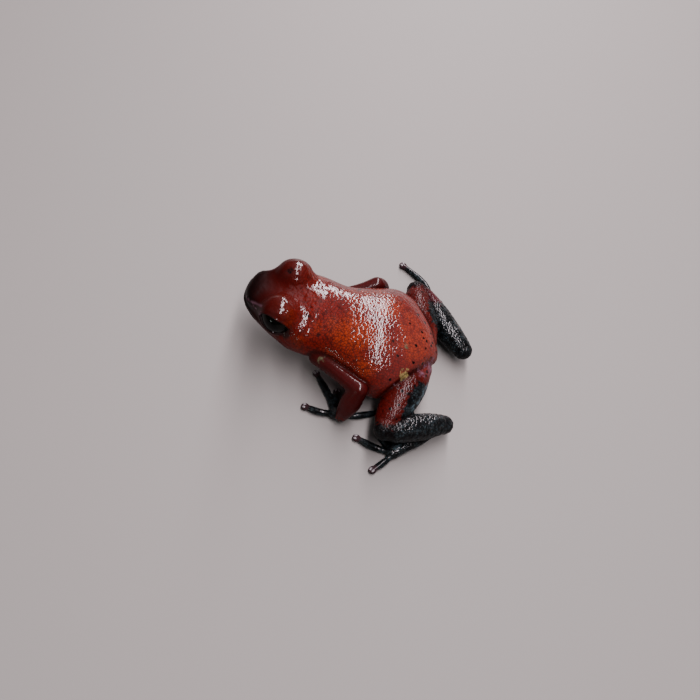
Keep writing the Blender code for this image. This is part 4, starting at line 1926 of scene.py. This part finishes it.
    def flecks(self, mix: Mixer) -> bpy.types.NodeSocket:
        """Scatter the small black flecks of the rear.

        Args:
            mix: Makes the nodes.

        Returns:
            The socket that is 1 on a fleck.
        """
        place = mix.warped(self.warp_size, self.fleck_warp)
        spots = mix.cells(place, self.fleck_spacing, "F1").outputs
        share = mix.times(mix.mask("rear"), self.fleck_share)
        chance = mix.math("SUBTRACT", share, spots["Color"])
        near = mix.ramp(spots["Distance"], self.fleck)
        return mix.times(near, mix.ramp(chance, self.fleck_chance))

    def grey(
        self, mix: Mixer, top: bpy.types.NodeSocket, ragged: bpy.types.NodeSocket,
    ) -> bpy.types.NodeSocket:
        """Mix the colour of the black parts, with painted blue-grey highlights on the bead tops and a
        maroon patch.

        Args:
            mix: Makes the nodes.
            top: 1 on the tops of the beads and 0 in the gaps.
            ragged: Fine noise about 0 that breaks up an edge.

        Returns:
            The colour's socket.
        """
        patch = mix.ramp(mix.cloud(self.grey_size), self.grey_patch)
        # Painted highlights: the bead tops of the black parts are lighter, in patches.
        bead = mix.times(mix.ramp(top, self.grey_bead), patch)
        grey = mix.mixed(bead, linear(self.black), linear(self.blue_grey))
        maroon = mix.ramp(mix.plus(mix.mask(Tint.MAROON.value), ragged), self.maroon_edge)
        return mix.mixed(maroon, grey, linear(self.maroon))

    def colour(self, mix: Mixer, top: bpy.types.NodeSocket) -> bpy.types.NodeSocket:
        """Return the skin's colour.

        Args:
            mix: Makes the nodes.
            top: 1 on the tops of the granules and 0 in the gaps.

        Returns:
            The colour's socket.
        """
        small = mix.cloud(self.blotch_size, 4.0)
        ragged = mix.times(mix.math("SUBTRACT", small, 0.5), self.raggedness)
        warmth = mix.times(mix.mask(Tint.WARM.value), self.patch_warmth)
        warm = mix.ramp(mix.plus(mix.cloud(self.patch_size), warmth), self.patch)
        colour = mix.mixed(warm, linear(self.red), linear(self.orange))
        for zone in self.zones:
            colour = mix.laid(colour, mix.mask(zone.mask), zone.amount, zone.colour)
        # Painted shade darkens the gaps between the granules.
        gap = mix.times(mix.ramp(top, self.gap), mix.mask("mottle"))
        colour = mix.laid(colour, gap, 1.0, self.deep_red)
        blotch = mix.times(mix.ramp(small, self.blotch), mix.mask("mottle"))
        colour = mix.laid(colour, blotch, self.blotch_amount, self.deep_red)
        # Painted sheen: a milky pink reflection laid over the rear, not on the thighs.
        painted_sheen_share = mix.math("SUBTRACT", mix.mask("rear"), mix.mask("thigh"))
        colour = mix.laid(colour, painted_sheen_share, self.sheen_amount, self.sheen)
        colour = mix.laid(colour, self.flecks(mix), 1.0, self.dark)
        black = mix.ramp(mix.plus(mix.mask("black"), ragged), self.black_edge)
        colour = mix.mixed(black, colour, self.grey(mix, top, ragged))
        # The lid edges round each eye are darkened, and the folds where parts meet get painted shade.
        dark = mix.math("MAXIMUM", mix.mask("lid"), mix.times(mix.mask("fold"), self.fold_share))
        colour = mix.laid(colour, dark, self.darkness, self.dark)
        for detail in self.details:
            colour = mix.laid(colour, mix.mask(detail.mask), detail.amount, detail.colour)
        shown = mix.plus(mix.times(top, self.mark_top), self.mark_gap)
        for mark in self.marks:
            mask = mix.mask(mark.mask)
            spread = mix.plus(mask, mix.times(ragged, self.mark_raggedness))
            share = mix.times(mix.ramp(spread, self.mark_edge), mix.ramp(mask, self.mark_core))
            colour = mix.laid(colour, mix.times(share, shown), mark.amount, mark.colour)
        return colour


@dataclass(frozen=True)
class WetEye:
    """Clear wet cornea over a nearly black iris: sharp small highlights on black."""

    pupil: str = "#010101"
    iris: str = "#0A0A07"
    edge: str = "#030303"
    pupil_end: Fade = Fade(0.24, 0.30)
    iris_end: Fade = Fade(0.55, 0.70)

    def make(self) -> bpy.types.Material:
        """Mix the eye's material.

        Returns:
            The material.
        """
        material, shader, mix = new_material("wet_eye")
        angle = mix.mask("off_axis")
        inner = mix.mixed(mix.ramp(angle, self.pupil_end), linear(self.pupil), linear(self.iris))
        whole = mix.mixed(mix.ramp(angle, self.iris_end), inner, linear(self.edge))
        shader.inputs["Roughness"].default_value = 0.3
        shader.inputs["Specular IOR Level"].default_value = 0.0
        shader.inputs["Coat Weight"].default_value = 1.0
        shader.inputs["Coat Roughness"].default_value = 0.02
        shader.inputs["Coat IOR"].default_value = 1.20
        feed(mix.tree, shader, {"Base Color": whole})
        return material


@dataclass(frozen=True)
class PlateHorn:
    """Thin horny plate on the discs: pale grey, smooth and wet."""

    colour: str = "#A59A9C"
    speckle: str = "#4A4D52"
    speckle_size: float = 0.12

    def make(self) -> bpy.types.Material:
        """Mix the plates' material.

        Returns:
            The material.
        """
        material, shader, mix = new_material("disc_plate_skin")
        share = mix.cloud(self.speckle_size, 2.0)
        colour = mix.mixed(share, linear(self.speckle), linear(self.colour))
        shader.inputs["Roughness"].default_value = 0.3
        shader.inputs["Coat Weight"].default_value = 0.15
        shader.inputs["Coat Roughness"].default_value = 0.2
        feed(mix.tree, shader, {"Base Color": colour})
        return material


@dataclass(frozen=True)
class PaleBoard:
    """Plain matt board under the frog."""

    colour: str = "#A19E9A"

    def make(self) -> bpy.types.Material:
        """Mix the floor's material.

        Returns:
            The material.
        """
        material, shader, _ = new_material("pale_board")
        shader.inputs["Base Color"].default_value = linear(self.colour)
        shader.inputs["Roughness"].default_value = 0.7
        return material


@dataclass(frozen=True)
class Panel:
    """One soft light, in the frog's millimetres."""

    name: str
    place: tuple
    aim: tuple
    along: tuple
    size: tuple
    radiance: float
    colour: str


@dataclass
class Studio:
    """Floor, soft lights and the camera at the photo's angle.

    Lengths are in the frog's millimetres and angles in degrees. The clip start
    is in metres.
    """

    frame: Frame
    azimuth: float = 95.0
    elevation: float = 58.0
    roll: float = 13.0
    distance: float = 86.0
    target: tuple = (1.62, -0.40, 3.18)
    lens: float = 50.0
    sensor: float = 36.0
    clip_start: float = 0.005
    floor_half: float = 400.0
    room_colour: str = "#E9ECF2"
    room_strength: float = 0.08
    panels: tuple = (
        Panel(
            name="long_box", place=(-58.0, 9.0, 129.0), aim=(0.0, 0.0, 4.0),
            along=(1.0, 0.237, 0.46), size=(390.0, 25.0), radiance=23.0, colour="#FFF2F8",
        ),
        Panel(
            name="catchlight", place=(130.0, -78.0, 30.0), aim=(2.0, -7.0, 5.5),
            along=(0.5, 0.85, 0.0), size=(30.0, 8.0), radiance=26.0, colour="#F0FFF6",
        ),
        Panel(
            name="front_fill", place=(60.0, -120.0, 90.0), aim=(0.0, 0.0, 3.0),
            along=(1.0, 0.5, 0.0), size=(120.0, 90.0), radiance=0.12, colour="#F4F7FF",
        ),
        Panel(
            name="rear_fill", place=(90.0, 130.0, 60.0), aim=(0.0, 3.0, 3.0),
            along=(1.0, -0.7, 0.0), size=(120.0, 80.0), radiance=0.18, colour="#EAF2FF",
        ),
    )

    def hang(
        self, data: bpy.types.ID, place: Sequence[float], right: Vector, back: Vector,
    ) -> bpy.types.Object:
        """Put a light or camera in the scene.

        Args:
            data: The light or camera.
            place: Where it hangs.
            right: The direction of its own right.
            back: The direction that it faces away from.

        Returns:
            The light or camera as an object.
        """
        piece = bpy.data.objects.new(data.name, data)
        bpy.context.scene.collection.objects.link(piece)
        turn = Matrix((right, back.cross(right), back)).transposed().to_4x4()
        piece.matrix_world = Matrix.Translation(Vector(self.frame.metres(place))) @ turn
        return piece

    def floor(self) -> bpy.types.Object:
        """Build the floor.

        Returns:
            The floor as an object.
        """
        signs = ((-1.0, -1.0), (1.0, -1.0), (1.0, 1.0), (-1.0, 1.0))
        corners = np.array([(x, y, 0.0) for x, y in signs]) * self.floor_half * MILLIMETRE
        piece = link("floor", to_mesh("floor", Form(corners, [[0, 1, 2, 3]])))
        piece.data.materials.append(PaleBoard().make())
        return piece

    def lights(self) -> None:
        """Hang the soft lights and light the room faintly."""
        for panel in self.panels:
            data = bpy.data.lights.new(panel.name, "AREA")
            data.shape = "RECTANGLE"
            data.size, data.size_y = [length * MILLIMETRE for length in panel.size]
            data.energy = panel.radiance * math.pi * data.size * data.size_y
            data.color = linear(panel.colour)[:3]
            back = (Vector(panel.place) - Vector(panel.aim)).normalized()
            along = Vector(panel.along)
            self.hang(data, panel.place, (along - back * along.dot(back)).normalized(), back)
        world = bpy.data.worlds.new("room")
        bpy.context.scene.world = world
        world.use_nodes = True
        background = world.node_tree.nodes["Background"]
        background.inputs["Color"].default_value = linear(self.room_colour)
        background.inputs["Strength"].default_value = self.room_strength

    def camera(self) -> None:
        """Set the camera at the photo's viewing angle."""
        turn = math.radians(self.azimuth)
        lift = math.radians(self.elevation)
        roll = math.radians(self.roll)
        level = math.cos(lift)
        back = Vector((math.sin(turn) * level, -math.cos(turn) * level, math.sin(lift)))
        across = Vector((math.cos(turn), math.sin(turn), 0.0))
        right = across * math.cos(roll) + back.cross(across) * math.sin(roll)
        data = bpy.data.cameras.new("camera")
        data.lens = self.lens
        data.sensor_width = self.sensor
        data.clip_start = self.clip_start
        place = Vector(self.target) + back * self.distance
        bpy.context.scene.camera = self.hang(data, place, right, back)


def main() -> None:
    """Build the frog around the frame, dress it and light it."""
    logging.basicConfig(level=logging.INFO, format="%(name)s: %(message)s")
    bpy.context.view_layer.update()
    place = Frame.measured()
    skin = Skin(place).build(WetSkin())
    fleshy = [name for name in frame["nodes"] if not name.startswith("eye_")]
    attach(skin, BODY)
    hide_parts(*fleshy)
    LOG.info("skin: %d vertices, replaces %d nodes", len(skin.data.vertices), len(fleshy))
    for side in Side:
        eye = Eyeball(place, side).build(WetEye())
        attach(eye, BODY)
        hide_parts(f"eye_{side.word}")
        LOG.info("eye %s: %d vertices", side.word, len(eye.data.vertices))
    plates = DiscPlates().build(place, PlateHorn())
    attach(plates, BODY)
    LOG.info("disc plates: %d vertices", len(plates.data.vertices))
    studio = Studio(place)
    studio.floor()
    studio.lights()
    studio.camera()


if __name__ == "__main__":
    main()
